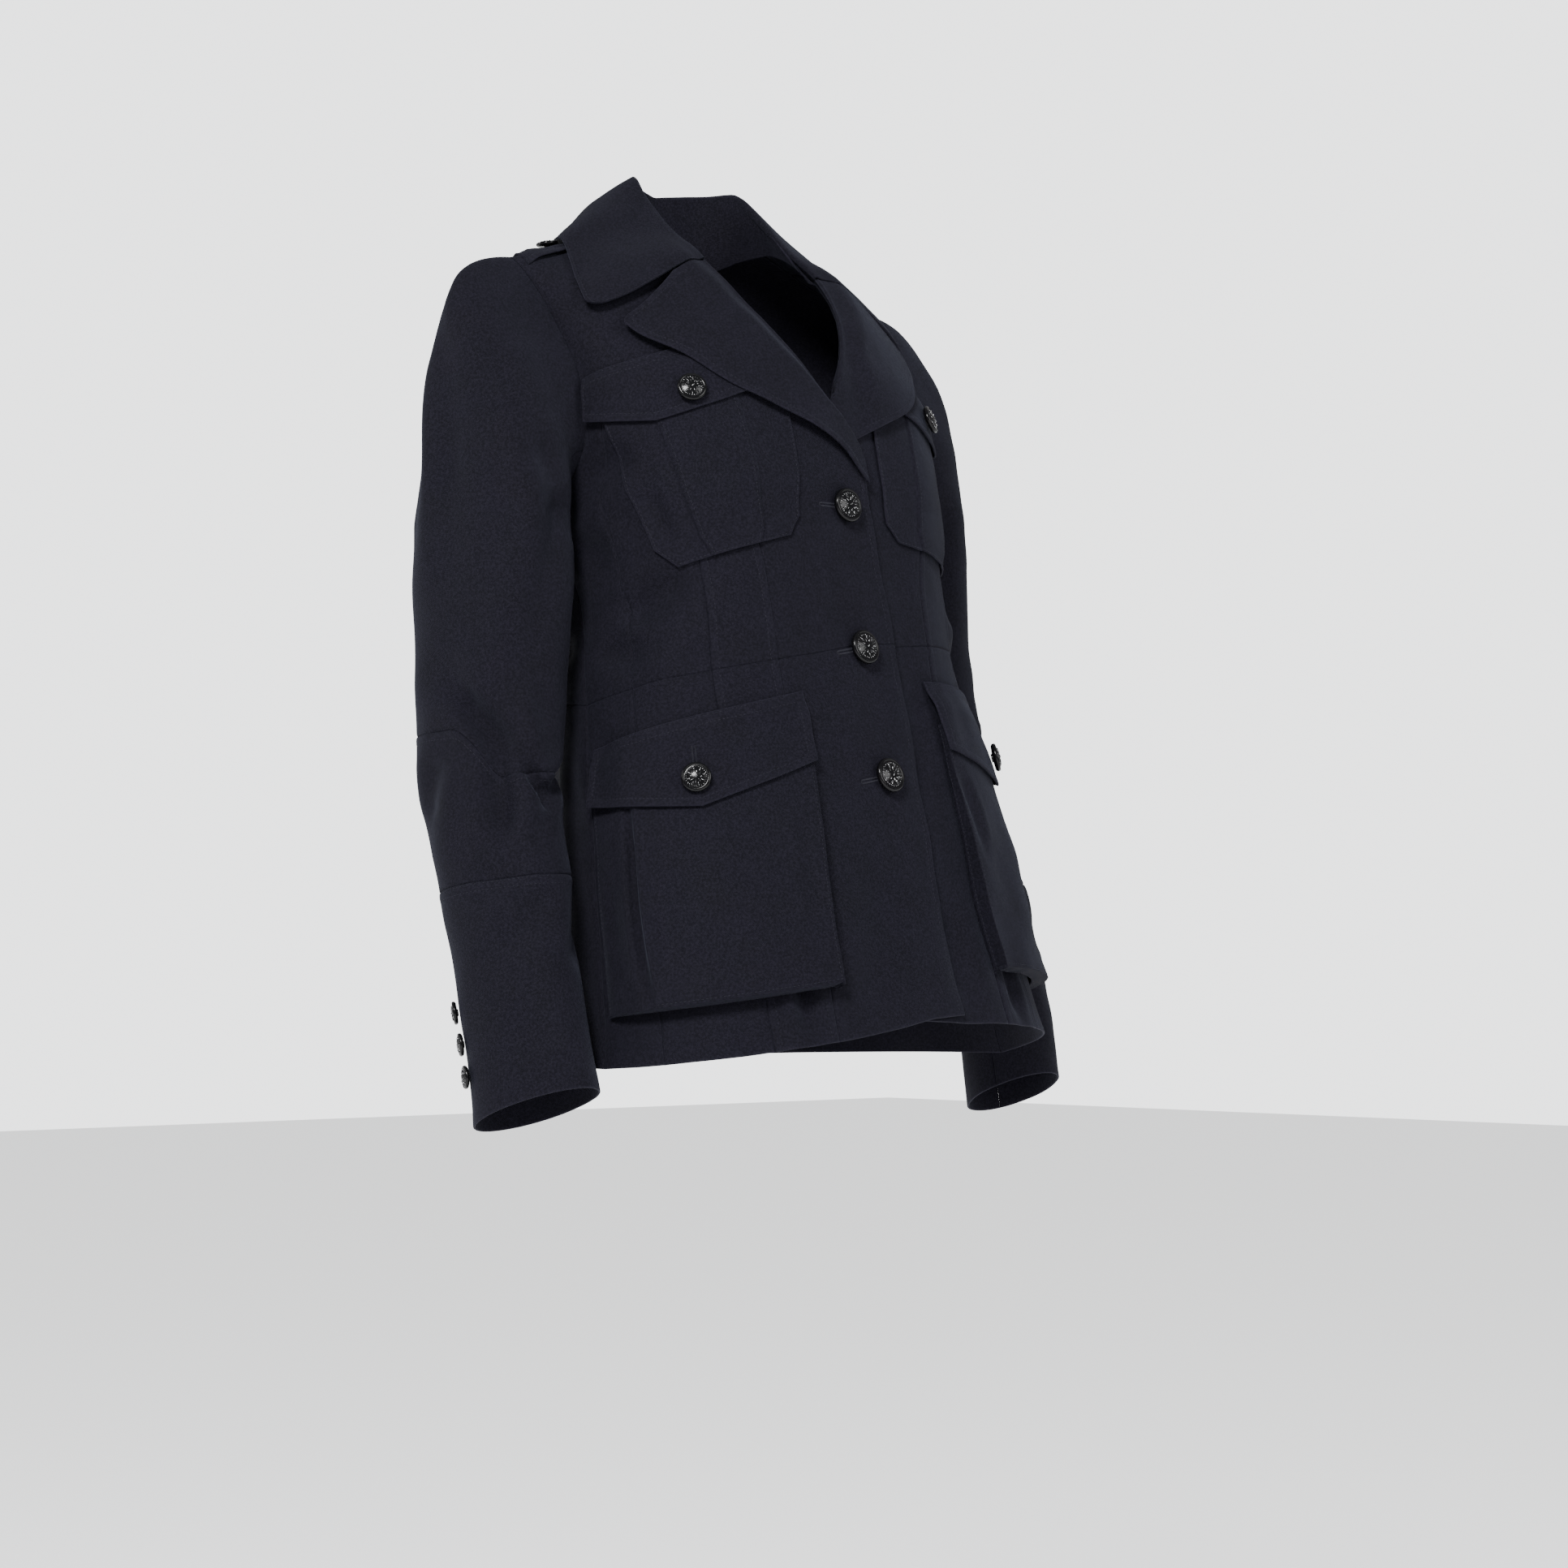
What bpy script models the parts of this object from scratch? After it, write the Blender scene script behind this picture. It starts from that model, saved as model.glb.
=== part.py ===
"""Fitted military-style jacket, worn shape with no wearer: cloth panels as thin walls.

Metres, +Z up. The front faces -Y and the wearer's left is +X. The origin is the
centre of the neck, level with the tops of the shoulders.
"""

import math

import bpy
import numpy as np

# Cloth and seams
WALL = 0.0016
TRIM_WALL = 0.0014
SEAM_GAP = 0.0003
LAY_GAP = 0.0004
PATCH_GAP = 0.0014

# Body levels: the hem is level -2, the waist seam -1, the underarm 0, the shoulder seam 1
HEM, WAIST, UNDERARM, SHOULDER = -2.0, -1.0, 0.0, 1.0
UNDERARM_Z = -0.195

# Waist seam and hem: height at the centre front, then its slope and its bend out to each side
# Columns: side, height, slope, bend
WAIST_LINE = {-1: (-0.300, -0.047, 0.000), 1: (-0.302, 0.030, -0.040)}
HEM_LINE = {-1: (-0.570, -0.058, 0.024), 1: (-0.570, -0.010, -0.020)}
OVERLAP_SLOPE = 0.4

# Columns: z, half_width, side_y, front_y, back_y, front_square, back_square
BODY = (
    (-0.620, 0.203, -0.122, -0.263, 0.038, 2.30, 2.2),
    (-0.560, 0.195, -0.110, -0.238, 0.043, 2.20, 2.2),
    (-0.500, 0.188, -0.095, -0.218, 0.048, 2.20, 2.2),
    (-0.400, 0.175, -0.072, -0.195, 0.053, 2.30, 2.2),
    (-0.320, 0.162, -0.050, -0.173, 0.058, 2.60, 2.3),
    (-0.270, 0.155, -0.035, -0.162, 0.068, 2.80, 2.4),
    (-0.195, 0.160, 0.000, -0.150, 0.098, 3.00, 2.5),
)

# Above the underarm: half width at the armhole, and its share of the whole section's half width
# Columns: level, x, front_share, back_share
ARMHOLE = (
    (0.00, 0.1600, 1.000, 1.000),
    (0.10, 0.1600, 0.995, 0.990),
    (0.25, 0.1605, 0.983, 0.975),
    (0.50, 0.1625, 0.975, 0.965),
    (0.75, 0.1690, 0.982, 0.965),
    (1.00, 0.1800, 0.985, 0.970),
)

# Columns: x, z, y
SHOULDER_LINE = (
    (0.000, 0.030, 0.008),
    (0.060, 0.020, 0.008),
    (0.120, 0.000, 0.012),
    (0.180, -0.014, 0.016),
)
FRONT_ROUND, FRONT_ROUND_FALL = 1.80, 2.2
BACK_ROUND, BACK_ROUND_FALL = 2.60, 3.5

# Front edge and roll line: distance past the centre line is negative
# Columns: level, x
FRONT_EDGE = (
    (-2.00, -0.036),
    (-1.40, -0.036),
    (-1.00, -0.037),
    (-0.50, -0.032),
    (0.00, -0.027),
    (0.17, -0.022),
    (0.27, -0.008),
    (0.39, 0.012),
    (0.50, 0.026),
    (0.60, 0.039),
    (0.71, 0.050),
    (1.00, 0.066),
)
BREAK_LEVEL = 0.17

# Panel seams: share of the way from the centre (0) to the side seam (1)
# Columns: level, first, second, third
FRONT_SEAMS = (
    (-2.0, 0.284, 0.452, 0.757),
    (-1.5, 0.272, 0.450, 0.755),
    (-1.0, 0.300, 0.500, 0.770),
    (-0.5, 0.312, 0.500, 0.765),
    (0.0, 0.330, 0.495, 0.752),
    (0.6, 0.330, 0.495, 0.752),
)
YOKE_LEVEL = 0.43
VENT_TOP_LEVEL = -1.7
VENT_OPEN_FRONT, VENT_OPEN_BACK = 0.022, 0.016
SKIRT_LEVELS = (HEM, -1.85, VENT_TOP_LEVEL, -1.53, -1.36, -1.18)


def smooth(rows, at):
    """Second and later columns of a table at places of its first, by a cubic with no overshoot."""
    table = np.array(rows, float)
    order = np.argsort(table[:, 0])
    table = table[order]
    x = table[:, 0]
    y = table[:, 1:]
    at = np.clip(np.asarray(at, float), x[0], x[-1])
    step = np.diff(x)[:, None]
    slope = np.diff(y, axis=0) / step
    tangent = np.zeros_like(y)
    same = slope[:-1] * slope[1:] > 0
    blend = (2 * slope[:-1] * slope[1:]) / np.where(same, slope[:-1] + slope[1:], 1.0)
    tangent[1:-1] = np.where(same, blend, 0.0)
    tangent[0] = slope[0]
    tangent[-1] = slope[-1]
    k = np.clip(np.searchsorted(x, at, side="right") - 1, 0, len(x) - 2)
    h = step[k]
    t = ((at - x[k]) / h[..., 0])[..., None]
    first = (1 + 2 * t) * (1 - t) ** 2 * y[k] + t * (1 - t) ** 2 * h * tangent[k]
    second = t * t * (3 - 2 * t) * y[k + 1] + t * t * (t - 1) * h * tangent[k + 1]
    return first + second


def blend_step(low, high, at):
    """Smooth rise from 0 at low to 1 at high."""
    t = np.clip((np.asarray(at, float) - low) / (high - low), 0.0, 1.0)
    return t * t * (3 - 2 * t)


def line_z(side, face, share, line):
    """Height of the waist seam or the hem; at the back it runs straight from side to side."""
    height, slope, bend = line[side]
    share = np.where(share < 0, share * OVERLAP_SLOPE, share)
    if face < 0:
        return height + slope * share + bend * share**2
    ends = {s: sum(line[s]) for s in (-1, 1)}
    middle = (ends[-1] + ends[1]) / 2
    return middle + (ends[side] - middle) * share


def level_z(side, face, share, level):
    """Height of a level line at and below the underarm."""
    waist = line_z(side, face, share, WAIST_LINE)
    hem = line_z(side, face, share, HEM_LINE)
    low = hem + (waist - hem) * (level - HEM)
    high = waist + (UNDERARM_Z - waist) * (level - WAIST)
    return np.where(level < WAIST, low, high)


def body(side, face, share, level):
    """Points on the outer skin of the body.

    side is -1 for the wearer's right, face -1 for the front and 1 for the back, share runs
    from 0 at the centre to 1 at the side, and level is as above.
    """
    share, level = np.broadcast_arrays(np.asarray(share, float), np.asarray(level, float))
    angle = share * math.pi / 2
    z_low = level_z(side, face, share, np.minimum(level, 0.0))
    sections = smooth(BODY, z_low)
    square = sections[..., 4] if face < 0 else sections[..., 5]
    depth = sections[..., 2] if face < 0 else sections[..., 3]
    sine = np.sin(angle)
    cosine = np.abs(np.cos(angle))
    reach = (np.abs(sine) ** square + cosine**square) ** (-1 / square)
    half = sections[..., 0]
    side_y = sections[..., 1]
    x_low = half * reach * sine
    y_low = side_y + (depth - side_y) * reach * cosine
    rise = np.clip(level, 0.0, 1.0)
    arm = smooth(ARMHOLE, rise)
    arm_share = arm[..., 1] if face < 0 else arm[..., 2]
    part = reach * sine
    x_high = part * arm[..., 0]
    ratio = np.clip(np.abs(part) * arm_share, 0.0, 1.0)
    y_base = side_y + (depth - side_y) * (1 - ratio**square) ** (1 / square)
    ridge = smooth(SHOULDER_LINE, np.abs(x_high))
    if face < 0:
        roundness = FRONT_ROUND - FRONT_ROUND_FALL * np.abs(x_high)
    else:
        roundness = BACK_ROUND - BACK_ROUND_FALL * np.abs(x_high)
    keep = (1 - rise**roundness) ** (1 / roundness)
    y_high = ridge[..., 1] + (y_base - ridge[..., 1]) * keep
    z_high = UNDERARM_Z + (ridge[..., 0] - UNDERARM_Z) * rise
    above = level > 0
    x = np.where(above, x_high, x_low)
    y = np.where(above, y_high, y_low)
    z = np.where(above, z_high, z_low)
    return np.stack([side * x, y, z], -1)


def skin_normal(side, face, share, level):
    """Outward unit normals of the body's skin."""
    share, level = np.broadcast_arrays(np.asarray(share, float), np.asarray(level, float))
    step = 0.002
    east = body(side, face, np.clip(share + step, -1, 1), level)
    west = body(side, face, np.clip(share - step, -1, 1), level)
    north = body(side, face, share, np.clip(level + step, HEM, SHOULDER))
    south = body(side, face, share, np.clip(level - step, HEM, SHOULDER))
    normal = np.cross(east - west, north - south) * (-side * face)
    return normal / np.linalg.norm(normal, axis=-1, keepdims=True)


def lay(side, face, share, level, out):
    """Points on the body's skin, moved out along its normals."""
    out = np.asarray(out, float)[..., None]
    return body(side, face, share, level) + out * skin_normal(side, face, share, level)


def share_of(face, x, level):
    """Share of the way to the side at which the body is x from its centre line."""
    x, level = np.broadcast_arrays(np.asarray(x, float), np.asarray(level, float))
    low = np.full(x.shape, -1.0)
    high = np.full(x.shape, 1.0)
    for _ in range(32):
        middle = (low + high) / 2
        over = body(1, face, middle, level)[..., 0] > x
        high = np.where(over, middle, high)
        low = np.where(over, low, middle)
    return (low + high) / 2


def level_of(side, face, share, z):
    """Level at which the body is at height z."""
    share, z = np.broadcast_arrays(np.asarray(share, float), np.asarray(z, float))
    low = np.full(z.shape, HEM)
    high = np.full(z.shape, SHOULDER)
    for _ in range(32):
        middle = (low + high) / 2
        over = body(side, face, share, middle)[..., 2] > z
        high = np.where(over, middle, high)
        low = np.where(over, low, middle)
    return (low + high) / 2


def grid_normal(points, wrap=False):
    """Unit normals of a grid of points; wrap joins the last column to the first."""
    if wrap:
        across = np.roll(points, -1, axis=1) - np.roll(points, 1, axis=1)
    else:
        across = np.gradient(points, axis=1)
    along = np.gradient(points, axis=0)
    normal = np.cross(across, along)
    return normal / np.linalg.norm(normal, axis=-1, keepdims=True)


def material(name, colour, roughness, metallic):
    """Principled material."""
    made = bpy.data.materials.new(name)
    made.use_nodes = True
    shader = made.node_tree.nodes["Principled BSDF"]
    shader.inputs["Base Color"].default_value = (*colour, 1.0)
    shader.inputs["Roughness"].default_value = roughness
    shader.inputs["Metallic"].default_value = metallic
    made.diffuse_color = (*colour, 1.0)
    return made


def wall(name, outer, inner, finish, used=None, wrap=False):
    """Closed wall between two grids of points that match, over the cells in use."""
    rows, columns = outer.shape[:2]
    spans = columns if wrap else columns - 1
    if used is None:
        used = np.ones((rows - 1, spans), bool)
    faces = []
    shift = rows * columns

    def index(i, j):
        return i * columns + j % columns

    edges = {}
    for i in range(rows - 1):
        for j in range(spans):
            if not used[i, j]:
                continue
            ring = [index(i, j), index(i, j + 1), index(i + 1, j + 1), index(i + 1, j)]
            faces.append(ring)
            faces.append([k + shift for k in reversed(ring)])
            for a, b in zip(ring, ring[1:] + ring[:1]):
                if (b, a) in edges:
                    del edges[(b, a)]
                else:
                    edges[(a, b)] = True
    for a, b in edges:
        faces.append([b, a, a + shift, b + shift])
    points = np.concatenate([outer.reshape(-1, 3), inner.reshape(-1, 3)])
    kept = sorted({k for face in faces for k in face})
    renumber = {k: n for n, k in enumerate(kept)}
    mesh = bpy.data.meshes.new(name)
    mesh.from_pydata([tuple(points[k]) for k in kept], [], [[renumber[k] for k in face] for face in faces])
    volume = 0.0
    for face in faces:
        a, b, c, d = (points[k] for k in face)
        volume += np.dot(a, np.cross(b, c)) + np.dot(a, np.cross(c, d))
    if volume < 0:
        mesh.flip_normals()
    mesh.materials.append(finish)
    made = bpy.data.objects.new(name, mesh)
    bpy.context.scene.collection.objects.link(made)
    return made


def body_panel(name, side, face, share, level, finish, used=None, sink=None):
    """Panel of the body over a grid of shares and levels."""
    sink = np.zeros(share.shape) if sink is None else sink
    outer = lay(side, face, share, level, -sink)
    inner = lay(side, face, share, level, -sink - WALL)
    return wall(name, outer, inner, finish, used)


SHARE_GAP = SEAM_GAP / 2 / 0.22
BODICE_GAP = SEAM_GAP / 2 / 0.11
SKIRT_GAP = SEAM_GAP / 2 / 0.26

LEFT_SINK = 0.0044
SINK_FULL_X, SINK_NONE_X = 0.042, 0.085
SINK_LEVELS = (0.33, 0.50)


def left_sink(side, share, level):
    """How far the left front lies in, under the right one."""
    if side < 0:
        return np.zeros(share.shape)
    x = body(1, -1, share, level)[..., 0]
    fade = 1 - blend_step(SINK_FULL_X, SINK_NONE_X, x)
    return LEFT_SINK * fade * (1 - blend_step(*SINK_LEVELS, level))


def side_end(levels, opened):
    """Share at which a skirt panel ends at the side: the seam, then the vent's edge."""
    return 1 - SHARE_GAP - opened * blend_step(VENT_TOP_LEVEL, HEM, levels)

YOKE_SHARES = (0.12, 0.26, 0.45, 0.62, 0.75, 0.86, 0.94, 1.0)

FRONT_LEVELS = (-0.75, -0.5, -0.25, 0.0, 0.09, 0.17, 0.30)
YOKE_LEVELS = (0.52, 0.62, 0.72, 0.81, 0.89, 0.95, 0.985)


def front_panels(side, tag, finish):
    """Front bodice and skirt panels of one side, from the front edge to the side seam."""
    low = np.array([WAIST + BODICE_GAP, *FRONT_LEVELS, YOKE_LEVEL])
    top = np.array([YOKE_LEVEL, *YOKE_LEVELS, 1.0 - BODICE_GAP])
    levels = np.concatenate([low, top[1:]])
    edge = share_of(-1, smooth(FRONT_EDGE, levels)[..., 0], levels)
    seams = smooth(FRONT_SEAMS, levels)
    first = seams[:, 0] - SHARE_GAP
    inner = edge[:, None] + (first - edge)[:, None] * np.linspace(0, 1, 6)
    outer = first[:, None] + (1 - first)[:, None] * np.array(YOKE_SHARES)
    share = np.concatenate([inner, outer], axis=1)
    level = np.repeat(levels[:, None], share.shape[1], axis=1)
    used = np.ones((len(levels) - 1, share.shape[1] - 1), bool)
    used[: len(low) - 1, 5:] = False
    body_panel(f"front_{tag}", side, -1, share, level, finish, used, left_sink(side, share, level))

    low = low.copy()
    low[-1] -= BODICE_GAP * 2
    seams = smooth(FRONT_SEAMS, low)
    spans = (
        ("mid_front", seams[:, 0] + SHARE_GAP, seams[:, 1] - SHARE_GAP, 3),
        ("side_front", seams[:, 1] + SHARE_GAP, seams[:, 2] - SHARE_GAP, 3),
        ("side", seams[:, 2] + SHARE_GAP, np.full(len(low), 1 - SHARE_GAP), 4),
    )
    for label, start, end, count in spans:
        share = start[:, None] + (end - start)[:, None] * np.linspace(0, 1, count + 1)
        level = np.repeat(low[:, None], share.shape[1], axis=1)
        sink = left_sink(side, share, level)
        body_panel(f"{label}_{tag}", side, -1, share, level, finish, None, sink)

    levels = np.array([*SKIRT_LEVELS, WAIST - SKIRT_GAP])
    edge = share_of(-1, smooth(FRONT_EDGE, levels)[..., 0], levels)
    seams = smooth(FRONT_SEAMS, levels)
    spans = (
        ("front_skirt", edge, seams[:, 0] - SHARE_GAP, 5),
        ("mid_skirt", seams[:, 0] + SHARE_GAP, seams[:, 1] - SHARE_GAP, 3),
        ("side_front_skirt", seams[:, 1] + SHARE_GAP, seams[:, 2] - SHARE_GAP, 4),
        ("side_skirt", seams[:, 2] + SHARE_GAP, side_end(levels, VENT_OPEN_FRONT), 5),
    )
    for label, start, end, count in spans:
        share = start[:, None] + (end - start)[:, None] * np.linspace(0, 1, count + 1)
        level = np.repeat(levels[:, None], share.shape[1], axis=1)
        sink = left_sink(side, share, level)
        body_panel(f"{label}_{tag}", side, -1, share, level, finish, None, sink)


BACK_NECK_LEVEL = 0.88
NECK_X = 0.066


def back_top(share):
    """Level of the back's upper edge: the neck curve, then the shoulder seam."""
    x = body(1, 1, share, 1.0)[..., 0]
    t = np.clip(x / NECK_X, 0, 1)
    return BACK_NECK_LEVEL + (SHOULDER - BACK_NECK_LEVEL) * t**2.6

BACK_OUTER_SHARES = (0.2, 0.45, 0.7, 0.88, 1.0)

BACK_ROWS = (0.0, 0.13, 0.26, 0.38, 0.50, 0.60, 0.70, 0.79, 0.87, 0.93, 0.975, 1.0)


def back_panels(side, tag, finish):
    """Back bodice and skirt of one side."""
    neck = float(share_of(1, NECK_X, 1.0))
    share = np.concatenate(
        [np.linspace(SHARE_GAP, neck, 5), neck + (1 - SHARE_GAP - neck) * np.array(BACK_OUTER_SHARES)]
    )
    rows = np.array(BACK_ROWS)
    top = back_top(share) - BODICE_GAP
    base = WAIST + BODICE_GAP
    level = base + (top[None, :] - base) * rows[:, None]
    share = np.repeat(share[None, :], len(rows), axis=0)
    body_panel(f"back_{tag}", side, 1, share, level, finish)
    levels = np.array([*SKIRT_LEVELS, WAIST - SKIRT_GAP])
    end = side_end(levels, VENT_OPEN_BACK)
    share = SHARE_GAP + (end - SHARE_GAP)[:, None] * np.linspace(0, 1, 8)
    level = np.repeat(levels[:, None], share.shape[1], axis=1)
    body_panel(f"back_skirt_{tag}", side, 1, share, level, finish)


# Sleeve rings: centre, half sizes, turn of the long axis and tilt of the ring
# Columns: z, x, y, half_fore, half_side, turn, tilt
SLEEVE = (
    (-0.215, 0.2070, 0.001, 0.0630, 0.0465, 12.0, 0.00),
    (-0.300, 0.2115, -0.005, 0.0610, 0.0460, 15.0, 0.00),
    (-0.352, 0.2170, -0.012, 0.0570, 0.0450, 18.0, -0.05),
    (-0.413, 0.2275, -0.027, 0.0520, 0.0425, 22.0, -0.10),
    (-0.484, 0.2365, -0.054, 0.0465, 0.0390, 26.0, -0.18),
    (-0.529, 0.2395, -0.069, 0.0440, 0.0370, 28.0, -0.22),
    (-0.580, 0.2405, -0.082, 0.0430, 0.0350, 30.0, -0.28),
    (-0.632, 0.2395, -0.092, 0.0450, 0.0350, 30.0, -0.38),
)
SLEEVE_TOP_Z, CUFF_Z = SLEEVE[0][0], SLEEVE[-1][0]
ELBOW_TOP_Z, ELBOW_LOW_Z = -0.372, -0.476
CAP_REACH = (0.012, 0.094)
CAP_DROP = 0.06
CAP_RISE = (-0.10, 0.02, 1.0)
CAP_SPAN = (0.34, 0.16)
CAP_BACK_PUSH = 0.22
FRONT_SEAM_TURN, BACK_SEAM_TURN = 0.13, 0.80
CUFF_SEAM_TURN, SLIT_TOP_Z, SLIT_OPEN = 0.74, -0.542, 0.014
SLEEVE_GIRTH = 0.31

# Largest sleeve folds, each a soft trough between two places on the arm
# Columns: turn, z, end_turn, end_z, half_width, depth
FOLDS = (
    (0.52, -0.331, 0.41, -0.380, 0.016, 0.0050),
    (0.41, -0.380, 0.42, -0.440, 0.016, 0.0040),
    (0.35, -0.396, 0.28, -0.420, 0.010, 0.0045),
    (0.14, -0.392, 0.28, -0.420, 0.011, 0.0060),
    (0.95, -0.400, 0.14, -0.405, 0.012, 0.0040),
)


def armhole(side, turn):
    """Armhole edge: turn 0 at the underarm, a half at the shoulder, forward edge first."""
    levels = np.linspace(0, 1, 200) ** 1.3
    front = body(side, -1, 1.0, levels)
    back = body(side, 1, 1.0, levels[::-1])
    marks = []
    for line in (front, back):
        walk = np.concatenate([[0], np.cumsum(np.linalg.norm(np.diff(line, axis=0), axis=1))])
        marks.append(walk / walk[-1] / 2)
    turn = np.asarray(turn, float) % 1.0
    points = np.empty(turn.shape + (3,))
    for axis in range(3):
        fore = np.interp(turn, marks[0], front[:, axis])
        rear = np.interp(turn, marks[1] + 0.5, back[:, axis])
        points[..., axis] = np.where(turn <= 0.5, fore, rear)
    return points


def fold_depth(turn, z):
    """Depth of the folds at places on the arm."""
    total = np.zeros(np.shape(turn))
    for start_turn, start_z, end_turn, end_z, half_width, depth in FOLDS:
        along = (end_turn - start_turn + 0.5) % 1.0 - 0.5
        start_to_end = np.array([along * SLEEVE_GIRTH, end_z - start_z])
        across = ((turn - start_turn + 0.5) % 1.0 - 0.5) * SLEEVE_GIRTH
        down = z - start_z
        t = (across * start_to_end[0] + down * start_to_end[1]) / (start_to_end @ start_to_end)
        t = np.clip(t, 0, 1)
        away = (across - t * start_to_end[0]) ** 2 + (down - t * start_to_end[1]) ** 2
        total = total + depth * np.exp(-away / half_width**2)
    return total


def sleeve_ring(side, turn, z):
    """Points of the arm's rings at centre height z."""
    turn, z = np.broadcast_arrays(np.asarray(turn, float), np.asarray(z, float))
    ring = smooth(SLEEVE, z)
    angle = turn * 2 * math.pi
    twist = np.radians(ring[..., 4])
    press = fold_depth(turn, z)
    fore = (ring[..., 2] - press) * np.sin(angle)
    out = -(ring[..., 3] - press) * np.cos(angle)
    x = ring[..., 0] - fore * np.sin(twist) + out * np.cos(twist)
    y = -fore * np.cos(twist) - out * np.sin(twist)
    height = z + ring[..., 5] * y
    return np.stack([side * x, ring[..., 1] + y, height], -1)


def sleeve(side, turn, stage):
    """Sleeve skin: stage 0 to 1 is the cap, 1 to 2 the arm down to the cuff."""
    turn, stage = np.broadcast_arrays(np.asarray(turn, float), np.asarray(stage, float))
    start = armhole(side, turn)
    first = sleeve_ring(side, turn, SLEEVE_TOP_Z)
    crown = (0.5 - 0.5 * np.cos(turn * 2 * math.pi))[..., None]
    reach = CAP_REACH[0] + (CAP_REACH[1] - CAP_REACH[0]) * crown
    rear = np.clip(-np.sin(turn * 2 * math.pi), 0, 1)[..., None]
    outward = np.array([side * 1.0, 0.0, 0.0]) + np.array([0.0, CAP_BACK_PUSH, 0.0]) * rear
    outward = outward + np.array([0.0, 0.0, -CAP_DROP]) * crown
    span = np.linalg.norm(first - start, axis=-1, keepdims=True)
    up = np.array(CAP_RISE) * np.array([side, 1.0, 1.0])
    t = np.clip(stage, 0, 1)[..., None]
    a = start + outward * SEAM_GAP * 1.3
    b = a + outward * reach
    c = first + up * span * (CAP_SPAN[0] + CAP_SPAN[1] * crown)
    cap = (1 - t) ** 3 * a + 3 * t * (1 - t) ** 2 * b + 3 * t * t * (1 - t) * c + t**3 * first
    z = SLEEVE_TOP_Z + (CUFF_Z - SLEEVE_TOP_Z) * np.clip(stage - 1, 0, 1)
    arm = sleeve_ring(side, turn, z)
    return np.where((stage <= 1)[..., None], cap, arm)


def stage_at(z):
    """Stage at which the arm's ring centre is at height z."""
    return 1 + (z - SLEEVE_TOP_Z) / (CUFF_Z - SLEEVE_TOP_Z)


def sleeve_piece(name, side, turns, stages, finish, wrap=False):
    """Piece of a sleeve over a grid of turns and stages."""
    step = 0.004
    turn = turns if turns.ndim == 2 else np.repeat(turns[None, :], len(stages), axis=0)
    stage = np.repeat(stages[:, None], turn.shape[1], axis=1)
    outer = sleeve(side, turn, stage)
    across = sleeve(side, turn + step, stage) - sleeve(side, turn - step, stage)
    below = np.clip(stage + step, 0, 2)
    above = np.clip(stage - step, 0, 2)
    along = sleeve(side, turn, below) - sleeve(side, turn, above)
    normal = np.cross(across, along) * side
    normal /= np.linalg.norm(normal, axis=-1, keepdims=True)
    wall(name, outer, outer - WALL * normal, finish, None, wrap)


def back_seam(stages):
    """Turn of the sleeve's back seam: it slides back from the elbow to the cuff."""
    return BACK_SEAM_TURN + (CUFF_SEAM_TURN - BACK_SEAM_TURN) * blend_step(stage_at(ELBOW_LOW_Z), 2.0, stages)

CAP_ROWS = (0.0, 0.12, 0.28, 0.46, 0.64, 0.82, 1.0)


def sleeves(side, tag, finish):
    """Upper sleeve, elbow panel and lower sleeve, each in a top and an under piece."""
    stage_gap = SEAM_GAP / 2 / (SLEEVE_TOP_Z - CUFF_Z)
    turn_gap = SEAM_GAP / 0.33
    elbow_top = stage_at(ELBOW_TOP_Z)
    elbow_low = stage_at(ELBOW_LOW_Z)
    cap_rows = np.array(CAP_ROWS)
    upper_rows = np.linspace(1, elbow_top - stage_gap, 5)[1:]
    upper = np.concatenate([cap_rows, upper_rows])
    elbow = np.linspace(elbow_top + stage_gap, elbow_low - stage_gap, 7)
    lower = np.linspace(elbow_low + stage_gap, 2.0, 7)
    for part, stages in (("sleeve", upper), ("forearm", lower)):
        seam = back_seam(stages)[:, None]
        slit = SLIT_OPEN * blend_step(stage_at(SLIT_TOP_Z), 2.0, stages)[:, None]
        start = FRONT_SEAM_TURN + turn_gap
        top = start + (seam - turn_gap - start) * np.linspace(0, 1, 15)
        start = seam + turn_gap + slit
        under = start + (1 + FRONT_SEAM_TURN - turn_gap - start) * np.linspace(0, 1, 8)
        sleeve_piece(f"{part}_top_{tag}", side, top, stages, finish)
        sleeve_piece(f"{part}_under_{tag}", side, under, stages, finish)
    ring = np.arange(22) / 22
    sleeve_piece(f"elbow_{tag}", side, ring, elbow, finish, wrap=True)


# Lapel: from the break (0) to the gorge (1), in levels and distances from the centre line
# Columns: along, level, x
LAPEL_EDGE = (
    (0.00, 0.07, -0.0250),
    (0.15, 0.175, 0.0020),
    (0.30, 0.24, 0.0300),
    (0.50, 0.37, 0.0870),
    (0.70, 0.50, 0.1130),
    (0.88, 0.600, 0.1340),
    (1.00, 0.658, 0.1400),
)
GORGE_LEVEL = 0.84
NOTCH_LEVEL, NOTCH_X, NOTCH_AT = 0.803, 0.090, 0.36
LEAF_LEVEL, LEAF_X = 0.712, 0.153
LAPEL_GAP, LAPEL_LIFT = 0.0008, 0.0070
LAPEL_RISE_ACROSS, LAPEL_RISE_ALONG = 0.2, 0.3
COVERED_X, FREE_X = 0.027, 0.050


def lapel_out(side, along, across, x):
    """Height of the lapel's underside over the front: it springs from the roll and stands off.

    The wearer's left lapel stays down where the right front covers it.
    """
    rise = 0.25 + 0.75 * blend_step(0.0, LAPEL_RISE_ALONG, along)
    lift = blend_step(0.0, LAPEL_RISE_ACROSS, across) * rise
    if side > 0:
        lift = lift * blend_step(COVERED_X, FREE_X, x)
    return LAPEL_GAP + LAPEL_LIFT * lift


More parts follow.
